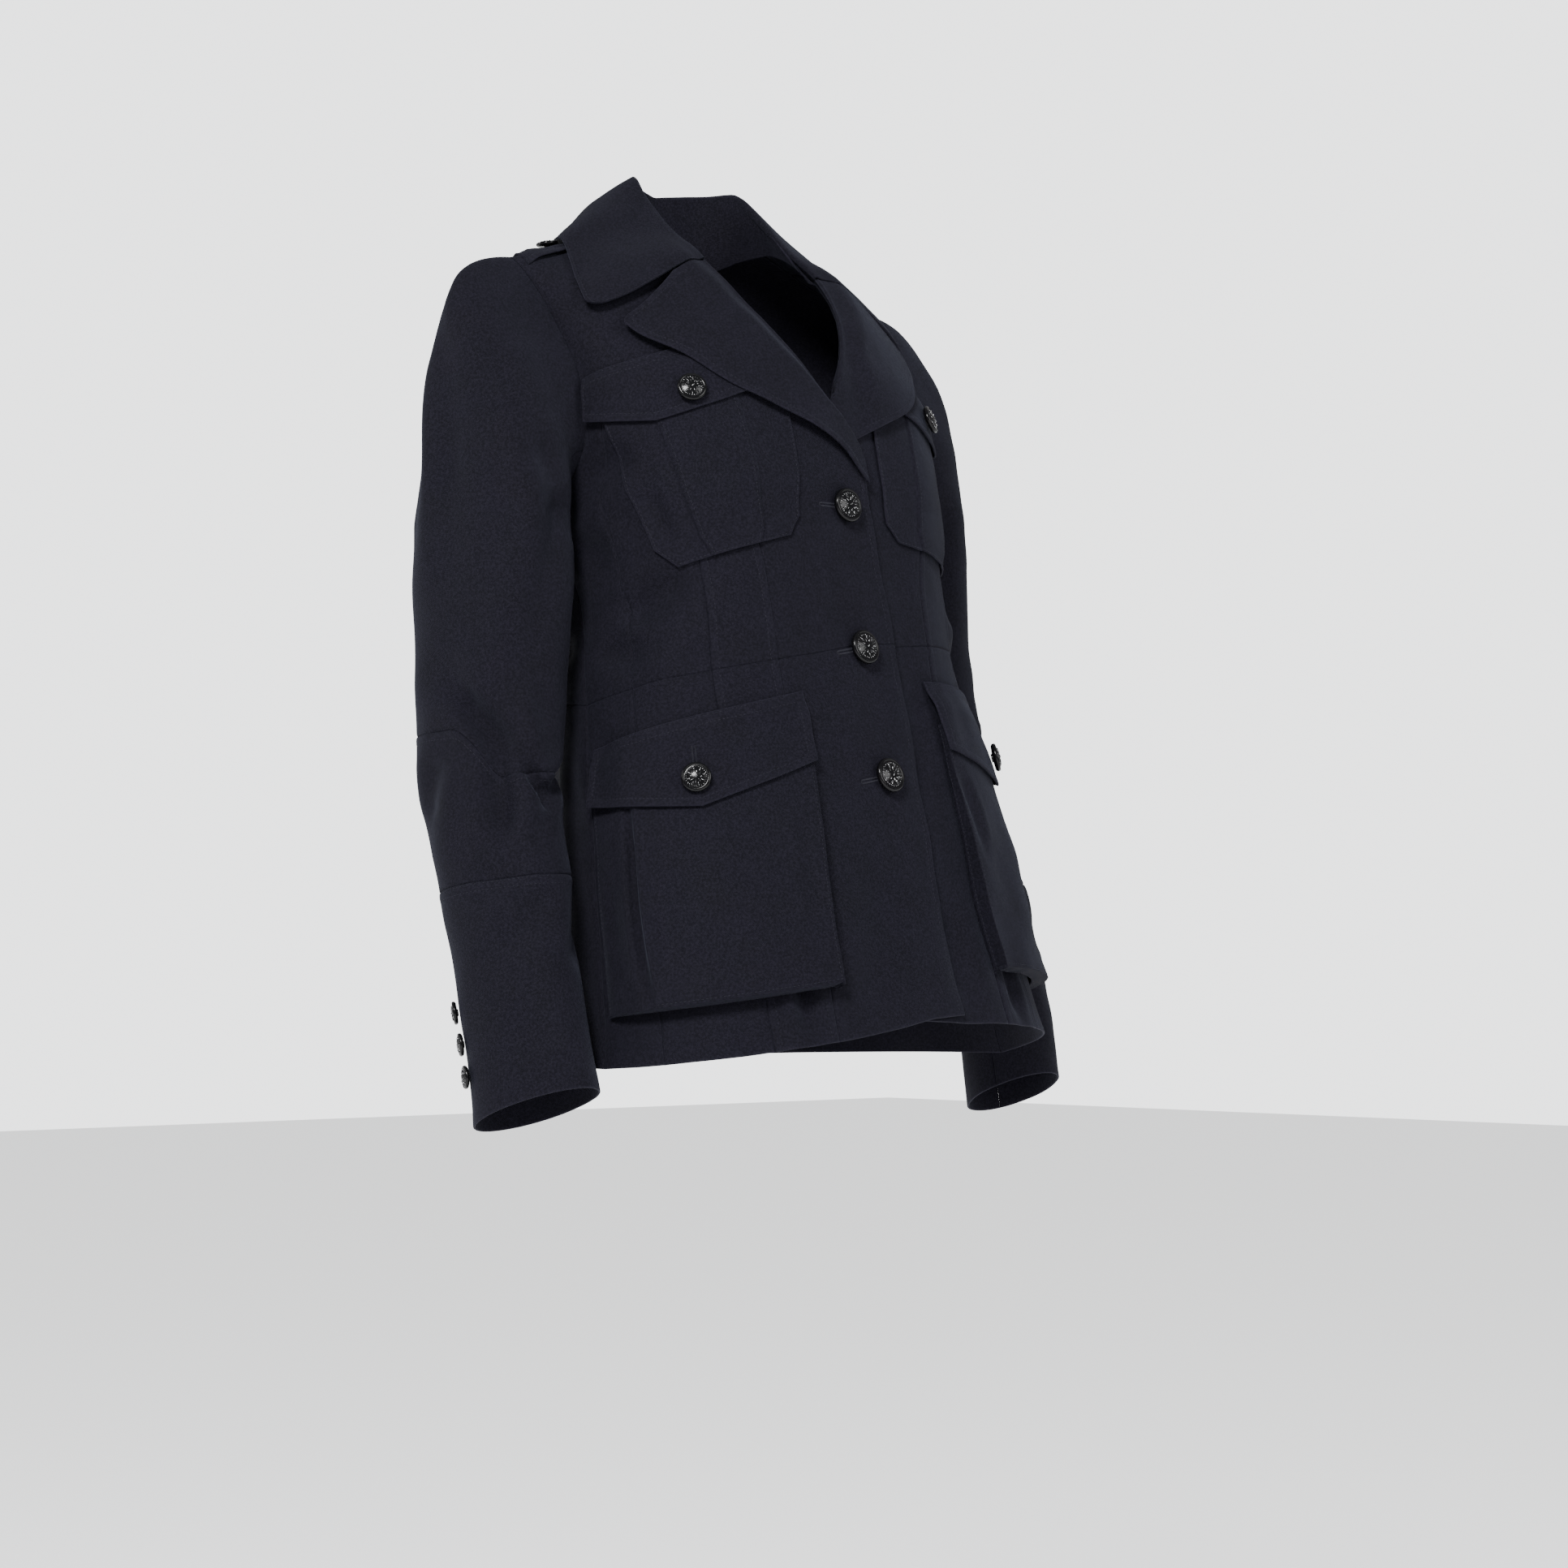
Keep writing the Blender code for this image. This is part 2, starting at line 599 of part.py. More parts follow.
def across_line(start, middle, end, at, across):
    """Broken line through three values, its middle at the given share."""
    first = start + (middle - start) * np.clip(across / at, 0, 1)
    return first + (end - middle) * np.clip((across - at) / (1 - at), 0, 1)


def lapel(side, along, across, thick):
    """Points of the lapel, thick above its underside: across 0 at the roll line, 1 at the edge."""
    roll_level = BREAK_LEVEL + (GORGE_LEVEL - BREAK_LEVEL) * along
    roll_x = smooth(FRONT_EDGE, roll_level)[..., 0]
    edge = smooth(LAPEL_EDGE, along)
    level = roll_level + (edge[..., 0] - roll_level) * across
    x = roll_x + (edge[..., 1] - roll_x) * across
    last = along**3
    end_x = float(smooth(FRONT_EDGE, np.array([GORGE_LEVEL]))[0, 0])
    top_level = across_line(GORGE_LEVEL, NOTCH_LEVEL, LAPEL_EDGE[-1][1], NOTCH_AT, across)
    top_x = across_line(end_x, NOTCH_X, LAPEL_EDGE[-1][2], NOTCH_AT, across)
    level = level + last * (top_level - (GORGE_LEVEL + (LAPEL_EDGE[-1][1] - GORGE_LEVEL) * across))
    x = x + last * (top_x - (end_x + (LAPEL_EDGE[-1][2] - end_x) * across))
    share = share_of(-1, x, level)
    out = thick + lapel_out(side, along, across, x)
    return lay(side, -1, share, level, out - left_sink(side, share, level))

LAPEL_ALONG = (0.0, 0.08, 0.18, 0.30, 0.42, 0.54, 0.66, 0.78, 0.88, 0.95, 1.0)

LAPEL_ACROSS = (0.0, 0.12, 0.25, 0.38, 0.6, 0.8, 1.0)


def lapels(side, tag, finish):
    """Turned-back top of one front."""
    along = np.array(LAPEL_ALONG)
    across = np.array(LAPEL_ACROSS)
    t, s = np.meshgrid(along, across, indexing="ij")
    wall(f"lapel_{tag}", lapel(side, t, s, TRIM_WALL), lapel(side, t, s, 0.0), finish)


# Collar: back centre (0) to gorge (1)
# Columns: along, roll_x, roll_y, roll_z, leaf_x, leaf_y, leaf_z
COLLAR = (
    (0.00, 0.0000, 0.0600, 0.0600, 0.0000, 0.0960, 0.0100),
    (0.20, 0.0300, 0.0500, 0.0630, 0.0560, 0.0830, 0.0090),
    (0.40, 0.0500, 0.0270, 0.0640, 0.1080, 0.0520, 0.0070),
    (0.55, 0.0570, 0.0040, 0.0440, 0.1370, 0.0100, 0.0040),
    (0.75, 0.0575, -0.0280, 0.0120, 0.1440, -0.0150, -0.0220),
    (1.00, 0.0570, -0.0520, -0.0140, 0.1390, -0.0330, -0.0520),
)
FALL_BULGE = 0.006
STAND_INSET, STAND_LIFT = 0.0024, 0.0006


def neckline(side, along):
    """Neck edge of the body: back centre (0), shoulder (0.55), gorge (1)."""
    along = np.asarray(along, float)
    x = NECK_X * np.clip(along / 0.55, 0, 1)
    share = share_of(1, x, 1.0)
    back = body(side, 1, share, back_top(share))
    level = 1 - (1 - GORGE_LEVEL) * np.clip((along - 0.55) / 0.45, 0, 1)
    edge = share_of(-1, smooth(FRONT_EDGE, level)[..., 0], level)
    front = body(side, -1, edge, level)
    return np.where((along <= 0.55)[..., None], back, front)


def collar_end(side, rise, out):
    """Front edge of the collar: along the gorge to the notch, then its own edge to the corner."""
    level = across_line(GORGE_LEVEL + 0.006, NOTCH_LEVEL + 0.006, LEAF_LEVEL, NOTCH_AT, rise)
    start = float(smooth(FRONT_EDGE, np.array([GORGE_LEVEL]))[0, 0])
    x = across_line(start, NOTCH_X, LEAF_X, NOTCH_AT, rise)
    return lay(side, -1, share_of(-1, x, level), level, out)


def fall(side, along, rise):
    """Outer skin of the collar's fall: rise 0 at the roll, 1 at the leaf edge."""
    along, rise = np.broadcast_arrays(np.asarray(along, float), np.asarray(rise, float))
    mirror = np.array([side, 1.0, 1.0])

    def ruled(at):
        row = smooth(COLLAR, at)
        roll = row[..., 0:3] * mirror
        leaf = row[..., 3:6] * mirror
        outward = np.stack([side * at, 1.0 - 1.2 * at, 0.4 * np.ones_like(at)], -1)
        outward /= np.linalg.norm(outward, axis=-1, keepdims=True)
        bulge = FALL_BULGE * np.sin(np.pi * rise) + (WALL + LAY_GAP) * (1 - rise) ** 2
        return roll + (leaf - roll) * rise[..., None] + outward * bulge[..., None]

    end = collar_end(side, rise, LAPEL_GAP + LAPEL_LIFT * blend_step(0.0, LAPEL_RISE_ACROSS, rise) + WALL)
    near = blend_step(0.62, 1.0, along)[..., None]
    return ruled(along) + near * (end - ruled(np.ones_like(along)))


def stand(side, along, rise):
    """Outer skin of the collar's stand: rise 0 at the neck edge, 1 at the roll."""
    along, rise = np.broadcast_arrays(np.asarray(along, float), np.asarray(rise, float))
    base = neckline(side, along) + np.array([-side * STAND_INSET, 0.0, STAND_LIFT])
    roll = smooth(COLLAR, along)[..., 0:3] * np.array([side, 1.0, 1.0])
    return base + (roll - base) * rise[..., None]


def skin_samples():
    """Dense points and normals of the body's upper skin, for laying the collar and straps on it."""
    share, level = np.meshgrid(np.linspace(0, 1, 60), np.linspace(0.2, 1, 70), indexing="ij")
    points, normals = [], []
    for side in (-1, 1):
        for face in (-1, 1):
            if face < 0:
                points.append(body(side, face, share, level).reshape(-1, 3))
                normals.append(skin_normal(side, face, share, level).reshape(-1, 3))
            else:
                top = back_top(share)
                at = np.minimum(level, top)
                points.append(body(side, face, share, at).reshape(-1, 3))
                normals.append(skin_normal(side, face, share, at).reshape(-1, 3))
    return np.concatenate(points), np.concatenate(normals)


def held_clear(points, clearance, samples):
    """Points pushed out along the body's normals until they are clear of its skin."""
    skin, normal = samples
    flat = points.reshape(-1, 3).copy()
    for _ in range(2):
        for k in range(len(flat)):
            near = np.argmin(((skin - flat[k]) ** 2).sum(-1))
            height = np.dot(flat[k] - skin[near], normal[near])
            if height < clearance:
                flat[k] += (clearance - height) * normal[near]
    return flat.reshape(points.shape)

COLLAR_ALONG = (0.0, 0.1, 0.2, 0.3, 0.4, 0.48, 0.56, 0.64, 0.72, 0.80, 0.88, 0.95, 1.0)

COLLAR_RISE = (0.0, 0.12, 0.25, 0.38, 0.6, 0.8, 1.0)


def collar(finish, samples):
    """Stand and fall, each right round the neck."""
    half = np.array(COLLAR_ALONG)
    rise = np.array(COLLAR_RISE)
    grids = {"stand": [], "fall": []}
    for side in (-1, 1):
        along = half[::-1] if side < 0 else half[1:]
        t, s = np.meshgrid(along, rise, indexing="ij")
        grids["fall"].append(fall(side, t, s))
        t, s = np.meshgrid(along, np.linspace(0, 1, 4), indexing="ij")
        grids["stand"].append(stand(side, t, s))
    outer = np.concatenate(grids["fall"])
    outer = held_clear(outer, 2 * WALL + LAY_GAP, samples)
    normal = grid_normal(outer)
    normal *= np.sign((normal * (outer - np.array([0, 0.02, -0.2]))).sum())
    wall("collar_fall", outer, outer - WALL * normal, finish)
    outer = np.concatenate(grids["stand"])
    normal = grid_normal(outer)
    normal *= np.sign((normal * (outer - np.array([0, 0, 0.02]))).sum())
    wall("collar_stand", outer, outer - WALL * normal, finish)


# Chest pocket, in levels and distances from the centre line
CHEST_TOP = (0.36, 0.50)
CHEST_BOTTOM = (-0.441, -0.226)
CHEST_OUTER = (0.1580, 0.1400)
CHEST_INNER = (0.0430, 0.0455)
CHAMFER = (0.85, 0.10)
PLEAT_SPAN, PLEAT_RISE = (0.30, 0.71), 0.0012

PLEAT_ROWS = (0, 0, 0, 1, 1, 1, 0, 0, 0)


def chest_bag(side, tag, finish):
    """Flat patch pocket with a raised box pleat and cut-off lower corners."""
    down = np.array([0.0, 0.2, 0.4, 0.6, 0.75, CHAMFER[0], 1.0])
    edge = 0.015
    across = np.array(
        [0, 0.15, PLEAT_SPAN[0] - edge, PLEAT_SPAN[0], 0.5, PLEAT_SPAN[1], PLEAT_SPAN[1] + edge, 0.85, 1]
    )
    rise = np.array(PLEAT_ROWS) * PLEAT_RISE
    q, p = np.meshgrid(down, across, indexing="ij")
    cut = CHAMFER[1] * np.clip((q - CHAMFER[0]) / (1 - CHAMFER[0]), 0, 1)
    p = cut + p * (1 - 2 * cut)
    outer_x = CHEST_OUTER[0] + (CHEST_OUTER[1] - CHEST_OUTER[0]) * q
    inner_x = CHEST_INNER[0] + (CHEST_INNER[1] - CHEST_INNER[0]) * q
    top = CHEST_TOP[0] + (CHEST_TOP[1] - CHEST_TOP[0]) * p
    bottom = CHEST_BOTTOM[0] + (CHEST_BOTTOM[1] - CHEST_BOTTOM[0]) * p
    level = top + (bottom - top) * q
    outer_share = share_of(-1, outer_x, level)
    inner_share = share_of(-1, inner_x, level)
    share = outer_share + (inner_share - outer_share) * p
    base = PATCH_GAP - left_sink(side, share, level)
    outer = lay(side, -1, share, level, base + TRIM_WALL + rise[None, :])
    inner = lay(side, -1, share, level, base)
    wall(f"chest_pocket_{tag}", outer, inner, finish)


# Chest flap: outer end, point and inner end
FLAP_ENDS_X = (0.1610, 0.0520)
FLAP_TOP = (0.455, 0.60)
FLAP_BOTTOM = (0.285, 0.262, 0.385)
FLAP_POINT_AT = 0.47
CHEST_FLAP_FULL_AT = 0.33
CHEST_FLAP_CLEAR = 0.0009


def chest_flap(side, tag, finish):
    """Pointed flap over the chest pocket."""
    q, p = np.meshgrid(np.array([0.0, CHEST_FLAP_FULL_AT, 0.66, 1.0]), np.linspace(0, 1, 9), indexing="ij")
    top = FLAP_TOP[0] + (FLAP_TOP[1] - FLAP_TOP[0]) * p
    bottom = across_line(*FLAP_BOTTOM, FLAP_POINT_AT, p)
    level = top + (bottom - top) * q
    outer_share = share_of(-1, FLAP_ENDS_X[0] - 0.001 * q, level)
    inner_share = share_of(-1, FLAP_ENDS_X[1], level)
    share = outer_share + (inner_share - outer_share) * p
    stands = TRIM_WALL + PLEAT_RISE + CHEST_FLAP_CLEAR
    base = PATCH_GAP + stands * blend_step(0.0, CHEST_FLAP_FULL_AT, q) - left_sink(side, share, level)
    outer = lay(side, -1, share, level, base + TRIM_WALL)
    inner = lay(side, -1, share, level, base)
    wall(f"chest_flap_{tag}", outer, inner, finish)


# Lower bellows pocket: columns from its outer foot to its inner foot, at its top and its bottom
# Columns: top_share, bottom_share, raised
BAG = (
    (0.975, 0.955, 0.00),
    (0.880, 0.850, 0.62),
    (0.785, 0.745, 1.00),
    (0.700, 0.668, 1.00),
    (0.610, 0.585, 1.00),
    (0.500, 0.490, 1.00),
    (0.375, 0.375, 1.00),
    (0.250, 0.266, 1.00),
    (0.253, 0.270, 0.00),
)
# Columns: level, raised
BAG_ROWS = (
    (-1.215, 0.22),
    (-1.34, 0.50),
    (-1.50, 0.80),
    (-1.68, 0.97),
    (-1.79, 1.00),
    (-1.868, 1.00),
    (-1.865, 0.00),
)
BAG_DEPTH, BAG_GAP = 0.012, 0.0007


def bag_rise(level):
    """Share of the bag's depth at a level."""
    return smooth([row for row in BAG_ROWS if row[1] > 0], level)[..., 0]


def lower_bag(side, tag, finish):
    """Bellows pocket: a face that stands off the skirt on gussets at its sides and bottom."""
    columns = np.array(BAG)
    rows = np.array(BAG_ROWS)
    level = np.repeat(rows[:, 0][:, None], len(columns), axis=1)
    t = (level - rows[0, 0]) / (rows[-1, 0] - rows[0, 0])
    share = columns[:, 0] + (columns[:, 1] - columns[:, 0]) * t
    raised = rows[:, 1][:, None] * columns[:, 2]
    foot = BAG_GAP + WALL * (raised == 0)
    out = foot + (BAG_DEPTH + WALL) * raised
    level = level + 0.0 * share
    out = out - left_sink(side, share, level)
    outer = lay(side, -1, share, level, out)
    normal = grid_normal(outer)
    centre = body(side, -1, share, level)
    normal *= np.sign((normal * (outer - centre)).sum())
    inner = outer - WALL * normal
    wall(f"pocket_{tag}", outer, inner, finish)


LOWER_FLAP_ENDS = (0.960, 0.246)
LOWER_FLAP_TOP = (-1.134, -1.096)
LOWER_FLAP_BOTTOM = (-1.301, -1.362, -1.288)
LOWER_POINT_AT = 0.55
FLAP_FULL_AT = 0.4
FLAP_CLEAR = 0.0022


def lower_flap(side, tag, finish):
    """Pointed flap over the bellows pocket."""
    down = np.array([0.0, FLAP_FULL_AT / 2, FLAP_FULL_AT, 0.7, 1.0])
    q, p = np.meshgrid(down, np.linspace(0, 1, 11), indexing="ij")
    top = LOWER_FLAP_TOP[0] + (LOWER_FLAP_TOP[1] - LOWER_FLAP_TOP[0]) * p
    bottom = across_line(*LOWER_FLAP_BOTTOM, LOWER_POINT_AT, p)
    level = top + (bottom - top) * q
    share = LOWER_FLAP_ENDS[0] + (LOWER_FLAP_ENDS[1] - LOWER_FLAP_ENDS[0]) * p
    raised = bag_rise(level)
    over = (BAG_DEPTH + WALL) * raised + FLAP_CLEAR
    base = PATCH_GAP + over * blend_step(0.0, FLAP_FULL_AT, q)
    base = base - left_sink(side, share, level)
    outer = lay(side, -1, share, level, base + TRIM_WALL)
    inner = lay(side, -1, share, level, base)
    wall(f"pocket_flap_{tag}", outer, inner, finish)


# Shoulder strap: from the armhole to its pointed end by the collar
# Columns: along, x, half_width
STRAP = (
    (0.0, 0.1725, 0.0215),
    (0.15, 0.1660, 0.0210),
    (0.3, 0.1580, 0.0205),
    (0.6, 0.1420, 0.0195),
    (0.85, 0.1250, 0.0180),
    (1.0, 0.1140, 0.0060),
)
STRAP_SHIFT = 0.006
STRAP_LOWEST_LEVEL, STRAP_WALK_STEPS = 0.6, 60
STRAP_HEIGHT = TRIM_WALL + 0.0018
STRAP_BUTTON_X = 0.138


def shoulder_point(side, x, away, out):
    """Point on the shoulder, a walk away from the shoulder seam towards the back, moved out."""
    levels = np.linspace(SHOULDER, STRAP_LOWEST_LEVEL, STRAP_WALK_STEPS)
    x, away, out = np.broadcast_arrays(np.asarray(x, float), np.asarray(away, float), np.asarray(out, float))
    points = np.empty(x.shape + (3,))
    for place in np.ndindex(x.shape):
        face = -1 if away[place] < 0 else 1
        line = body(1, face, share_of(face, x[place], levels), levels)
        walk = np.concatenate([[0.0], np.cumsum(np.linalg.norm(np.diff(line, axis=0), axis=1))])
        level = np.interp(abs(away[place]), walk, levels)
        points[place] = lay(side, face, share_of(face, x[place], level), level, out[place])
    return points


def strap(side, tag, finish, samples):
    """Strap along the shoulder seam."""
    rows = np.array(STRAP)
    across = np.linspace(-1, 1, 7)
    x = np.repeat(rows[:, 1][:, None], len(across), axis=1)
    away = STRAP_SHIFT + rows[:, 2][:, None] * across
    outer = shoulder_point(side, x, away, STRAP_HEIGHT)
    outer = held_clear(outer, STRAP_HEIGHT, samples)
    normal = grid_normal(outer)
    normal *= np.sign(normal[..., 2].sum())
    wall(f"strap_{tag}", outer, outer - TRIM_WALL * normal, finish)


# Buttons: a lathed profile of radius and height shares
# Columns: radius, height
BUTTON_PROFILE = (
    (0.30, 0.00),
    (0.30, 0.30),
    (0.92, 0.42),
    (1.00, 0.62),
    (0.92, 0.86),
    (0.80, 0.80),
    (0.40, 0.98),
)
LARGE_BUTTON, MIDDLE_BUTTON, SMALL_BUTTON = 0.0128, 0.0108, 0.0082
BUTTON_HEIGHT = 0.62
BUTTON_SIDES = 16


def button(name, seat, axis, radius, finish):
    """Shank button with a raised rim, standing on its seat."""
    axis = axis / np.linalg.norm(axis)
    helper = np.array([0.0, 0.0, 1.0]) if abs(axis[2]) < 0.9 else np.array([0.0, 1.0, 0.0])
    east = np.cross(helper, axis)
    east /= np.linalg.norm(east)
    north = np.cross(axis, east)
    points = []
    for share, rise in BUTTON_PROFILE:
        for k in range(BUTTON_SIDES):
            angle = 2 * math.pi * k / BUTTON_SIDES
            spoke = east * math.cos(angle) + north * math.sin(angle)
            points.append(seat + spoke * radius * share + axis * radius * BUTTON_HEIGHT * rise)
    faces = []
    for row in range(len(BUTTON_PROFILE) - 1):
        for k in range(BUTTON_SIDES):
            a = row * BUTTON_SIDES + k
            b = row * BUTTON_SIDES + (k + 1) % BUTTON_SIDES
            faces.append([a, b, b + BUTTON_SIDES, a + BUTTON_SIDES])
    last = (len(BUTTON_PROFILE) - 1) * BUTTON_SIDES
    faces.append(list(reversed(range(BUTTON_SIDES))))
    faces.append([last + k for k in range(BUTTON_SIDES)])
    mesh = bpy.data.meshes.new(name)
    mesh.from_pydata([tuple(p) for p in points], [], faces)
    mesh.materials.append(finish)
    made = bpy.data.objects.new(name, mesh)
    bpy.context.scene.collection.objects.link(made)
    return made


FRONT_BUTTON_Z = (-0.198, -0.303, -0.397)
CHEST_BUTTON_LEVEL, CHEST_BUTTON_X = 0.365, 0.115
POCKET_BUTTON_LEVEL, POCKET_BUTTON_SHARE = -1.287, 0.578
STRAP_AXIS = (0.12, 0.05, 1.0)
AXIS_STEP = 0.01
CUFF_BUTTON_GAP = 0.0015
# Columns: z, turn
CUFF_BUTTONS = ((-0.557, 0.700), (-0.579, 0.687), (-0.601, 0.675))


def buttons(finish):
    """Every button, each on the cloth it fastens."""
    for number, z in enumerate(FRONT_BUTTON_Z, start=1):
        share = share_of(-1, 0.0, level_of(-1, -1, 0.0, z))
        level = level_of(-1, -1, share, z)
        seat = lay(-1, -1, share, level, np.array(LAY_GAP))
        button(f"front_button_{number}", seat, skin_normal(-1, -1, share, level), LARGE_BUTTON, finish)
    for side, tag in ((-1, "right"), (1, "left")):
        level = CHEST_BUTTON_LEVEL
        share = share_of(-1, CHEST_BUTTON_X, level)
        out = PATCH_GAP + 2 * TRIM_WALL + PLEAT_RISE + CHEST_FLAP_CLEAR + LAY_GAP
        seat = lay(side, -1, share, level, np.array(out))
        button(f"chest_button_{tag}", seat, skin_normal(side, -1, share, level), MIDDLE_BUTTON, finish)
        level, share = POCKET_BUTTON_LEVEL, POCKET_BUTTON_SHARE
        out = (BAG_DEPTH + WALL) * float(bag_rise(level)) + PATCH_GAP + FLAP_CLEAR + TRIM_WALL + 2 * LAY_GAP
        seat = lay(side, -1, share, level, np.array(out))
        button(f"pocket_button_{tag}", seat, skin_normal(side, -1, share, level), MIDDLE_BUTTON, finish)
        seat = shoulder_point(side, STRAP_BUTTON_X, STRAP_SHIFT, STRAP_HEIGHT + 2 * LAY_GAP)
        axis = np.array(STRAP_AXIS) * np.array([side, 1.0, 1.0])
        button(f"strap_button_{tag}", seat, axis, SMALL_BUTTON, finish)
        for number, (z, turn) in enumerate(CUFF_BUTTONS, start=1):
            stage = stage_at(z)
            spot = sleeve(side, turn, stage)
            axis = np.cross(
                sleeve(side, turn, stage + AXIS_STEP) - sleeve(side, turn, stage - AXIS_STEP),
                sleeve(side, turn + AXIS_STEP, stage) - sleeve(side, turn - AXIS_STEP, stage),
            )
            axis = axis * side / np.linalg.norm(axis)
            button(f"cuff_button_{number}_{tag}", spot + axis * CUFF_BUTTON_GAP, axis, SMALL_BUTTON, finish)

CLOTH_COLOUR, CLOTH_ROUGHNESS = (0.012, 0.0118, 0.018), 0.85
BUTTON_COLOUR, BUTTON_ROUGHNESS = (0.010, 0.010, 0.011), 0.2


def main():
    """Build every piece."""
    for old in list(bpy.data.objects):
        bpy.data.objects.remove(old)
    cloth = material("navy_cloth", CLOTH_COLOUR, CLOTH_ROUGHNESS, 0.0)
    gloss = material("black_button", BUTTON_COLOUR, BUTTON_ROUGHNESS, 0.0)
    samples = skin_samples()
    for side, tag in ((-1, "right"), (1, "left")):
        front_panels(side, tag, cloth)
        back_panels(side, tag, cloth)
        sleeves(side, tag, cloth)
        lapels(side, tag, cloth)
        chest_bag(side, tag, cloth)
        chest_flap(side, tag, cloth)
        lower_bag(side, tag, cloth)
        lower_flap(side, tag, cloth)
        strap(side, tag, cloth, samples)
    collar(cloth, samples)
    buttons(gloss)


main()
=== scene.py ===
"""Dressed model of a fitted military-style jacket in navy twill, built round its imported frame.

Metres, +Z up. The front faces -Y and the wearer's left is +X. The origin is the centre of the
neck, level with the tops of the shoulders.
"""

import logging
import math
from dataclasses import dataclass, field, replace
from enum import Enum
from typing import Callable

import bpy
import numpy as np
from mathutils import Matrix, Vector
from mathutils.kdtree import KDTree


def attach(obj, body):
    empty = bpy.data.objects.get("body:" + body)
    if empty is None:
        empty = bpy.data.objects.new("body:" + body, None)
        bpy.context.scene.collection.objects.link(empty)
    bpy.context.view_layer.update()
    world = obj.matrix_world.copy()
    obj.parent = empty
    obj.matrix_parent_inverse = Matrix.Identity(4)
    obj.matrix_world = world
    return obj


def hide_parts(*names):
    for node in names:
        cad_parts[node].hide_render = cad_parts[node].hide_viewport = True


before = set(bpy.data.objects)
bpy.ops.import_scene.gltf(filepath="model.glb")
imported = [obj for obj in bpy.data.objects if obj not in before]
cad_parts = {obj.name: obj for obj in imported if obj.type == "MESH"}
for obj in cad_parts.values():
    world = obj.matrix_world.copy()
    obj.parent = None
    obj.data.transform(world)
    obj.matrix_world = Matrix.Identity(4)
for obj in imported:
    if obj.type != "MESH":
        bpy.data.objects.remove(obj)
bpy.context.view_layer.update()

BODY_NAME = "root"

# Cloth and seams
WALL = 0.0016
TRIM_WALL = 0.0014
SEAM_GAP = 0.0003
LAY_GAP = 0.0004
PATCH_GAP = 0.0014
GRID_STEP = 0.0034
QUARTER_TURN = math.pi / 2
HALVINGS = 26
MIRROR = {-1: np.array([-1.0, 1.0, 1.0]), 1: np.array([1.0, 1.0, 1.0])}

# Body levels: the hem is level -2, the waist seam -1, the underarm 0, the shoulder seam 1
HEM, WAIST, UNDERARM, SHOULDER = -2.0, -1.0, 0.0, 1.0

Array = np.ndarray
Material = bpy.types.Material
Object = bpy.types.Object
Socket = bpy.types.NodeSocket
Line = Callable[[Array], Array]
Surface = Callable[[Array, Array], Array]
log = logging.getLogger("jacket")


class Side(Enum):
    """Side of the garment, as the wearer has it."""

    RIGHT = -1
    LEFT = 1

    @property
    def tag(self) -> str:
        """Ending of the names of this side's pieces."""
        return self.name.lower()


class Face(Enum):
    """Front or back of the body."""

    FRONT = -1
    BACK = 1


class Held(Enum):
    """How a sheet of cloth is held."""

    HUNG = "hung"
    LAID = "laid"
    FOLDED = "folded"


def smooth(rows: tuple, at: Array) -> Array:
    """Read a table by a cubic with no overshoot.

    Args:
        rows: Table whose first column is the place.
        at: Places to read.

    Returns:
        The other columns at those places, in the last axis.
    """
    table = np.array(rows, float)
    table = table[np.argsort(table[:, 0])]
    x, y = table[:, 0], table[:, 1:]
    at = np.clip(np.asarray(at, float), x[0], x[-1])
    step = np.diff(x)[:, None]
    slope = np.diff(y, axis=0) / step
    tangent = np.zeros_like(y)
    same = slope[:-1] * slope[1:] > 0
    blend = (2 * slope[:-1] * slope[1:]) / np.where(same, slope[:-1] + slope[1:], 1.0)
    tangent[1:-1] = np.where(same, blend, 0.0)
    tangent[0], tangent[-1] = slope[0], slope[-1]
    k = np.clip(np.searchsorted(x, at, side="right") - 1, 0, len(x) - 2)
    h = step[k]
    t = ((at - x[k]) / h[..., 0])[..., None]
    first = (1 + 2 * t) * (1 - t) ** 2 * y[k] + t * (1 - t) ** 2 * h * tangent[k]
    second = t * t * (3 - 2 * t) * y[k + 1] + t * t * (t - 1) * h * tangent[k + 1]
    return first + second


def blend_step(low: float, high: float, at: Array) -> Array:
    """Smooth rise from 0 at low to 1 at high."""
    t = np.clip((np.asarray(at, float) - low) / (high - low), 0.0, 1.0)
    return t * t * (3 - 2 * t)


def across_line(start: float, middle: float, end: float, at: float, across: Array) -> Array:
    """Broken line through three values, its middle at the given share."""
    first = start + (middle - start) * np.clip(across / at, 0, 1)
    return first + (end - middle) * np.clip((across - at) / (1 - at), 0, 1)


def unit(vectors: Array) -> Array:
    """Vectors of length one."""
    return vectors / np.maximum(np.linalg.norm(vectors, axis=-1, keepdims=True), 1e-12)


def arc_lengths(points: Array) -> Array:
    """Lengths of lines of points, along the second axis from the end."""
    return np.linalg.norm(np.diff(points, axis=-2), axis=-1).sum(-1)


def walk_of(points: Array) -> Array:
    """Distance walked along a line to each of its points."""
    return np.concatenate([[0.0], np.cumsum(np.linalg.norm(np.diff(points, axis=0), axis=1))])


def read_line(at: Array, walk: Array, points: Array) -> Array:
    """Points at given distances along a line."""
    return np.stack([np.interp(at, walk, points[:, k]) for k in range(3)], -1)


def spread(*places: object) -> list:
    """Places as arrays of numbers in one shape."""
    return np.broadcast_arrays(*(np.asarray(place, float) for place in places))


def held(value: float) -> Line:
    """Line that has one value at every place."""
    return lambda at: np.full_like(at, value)


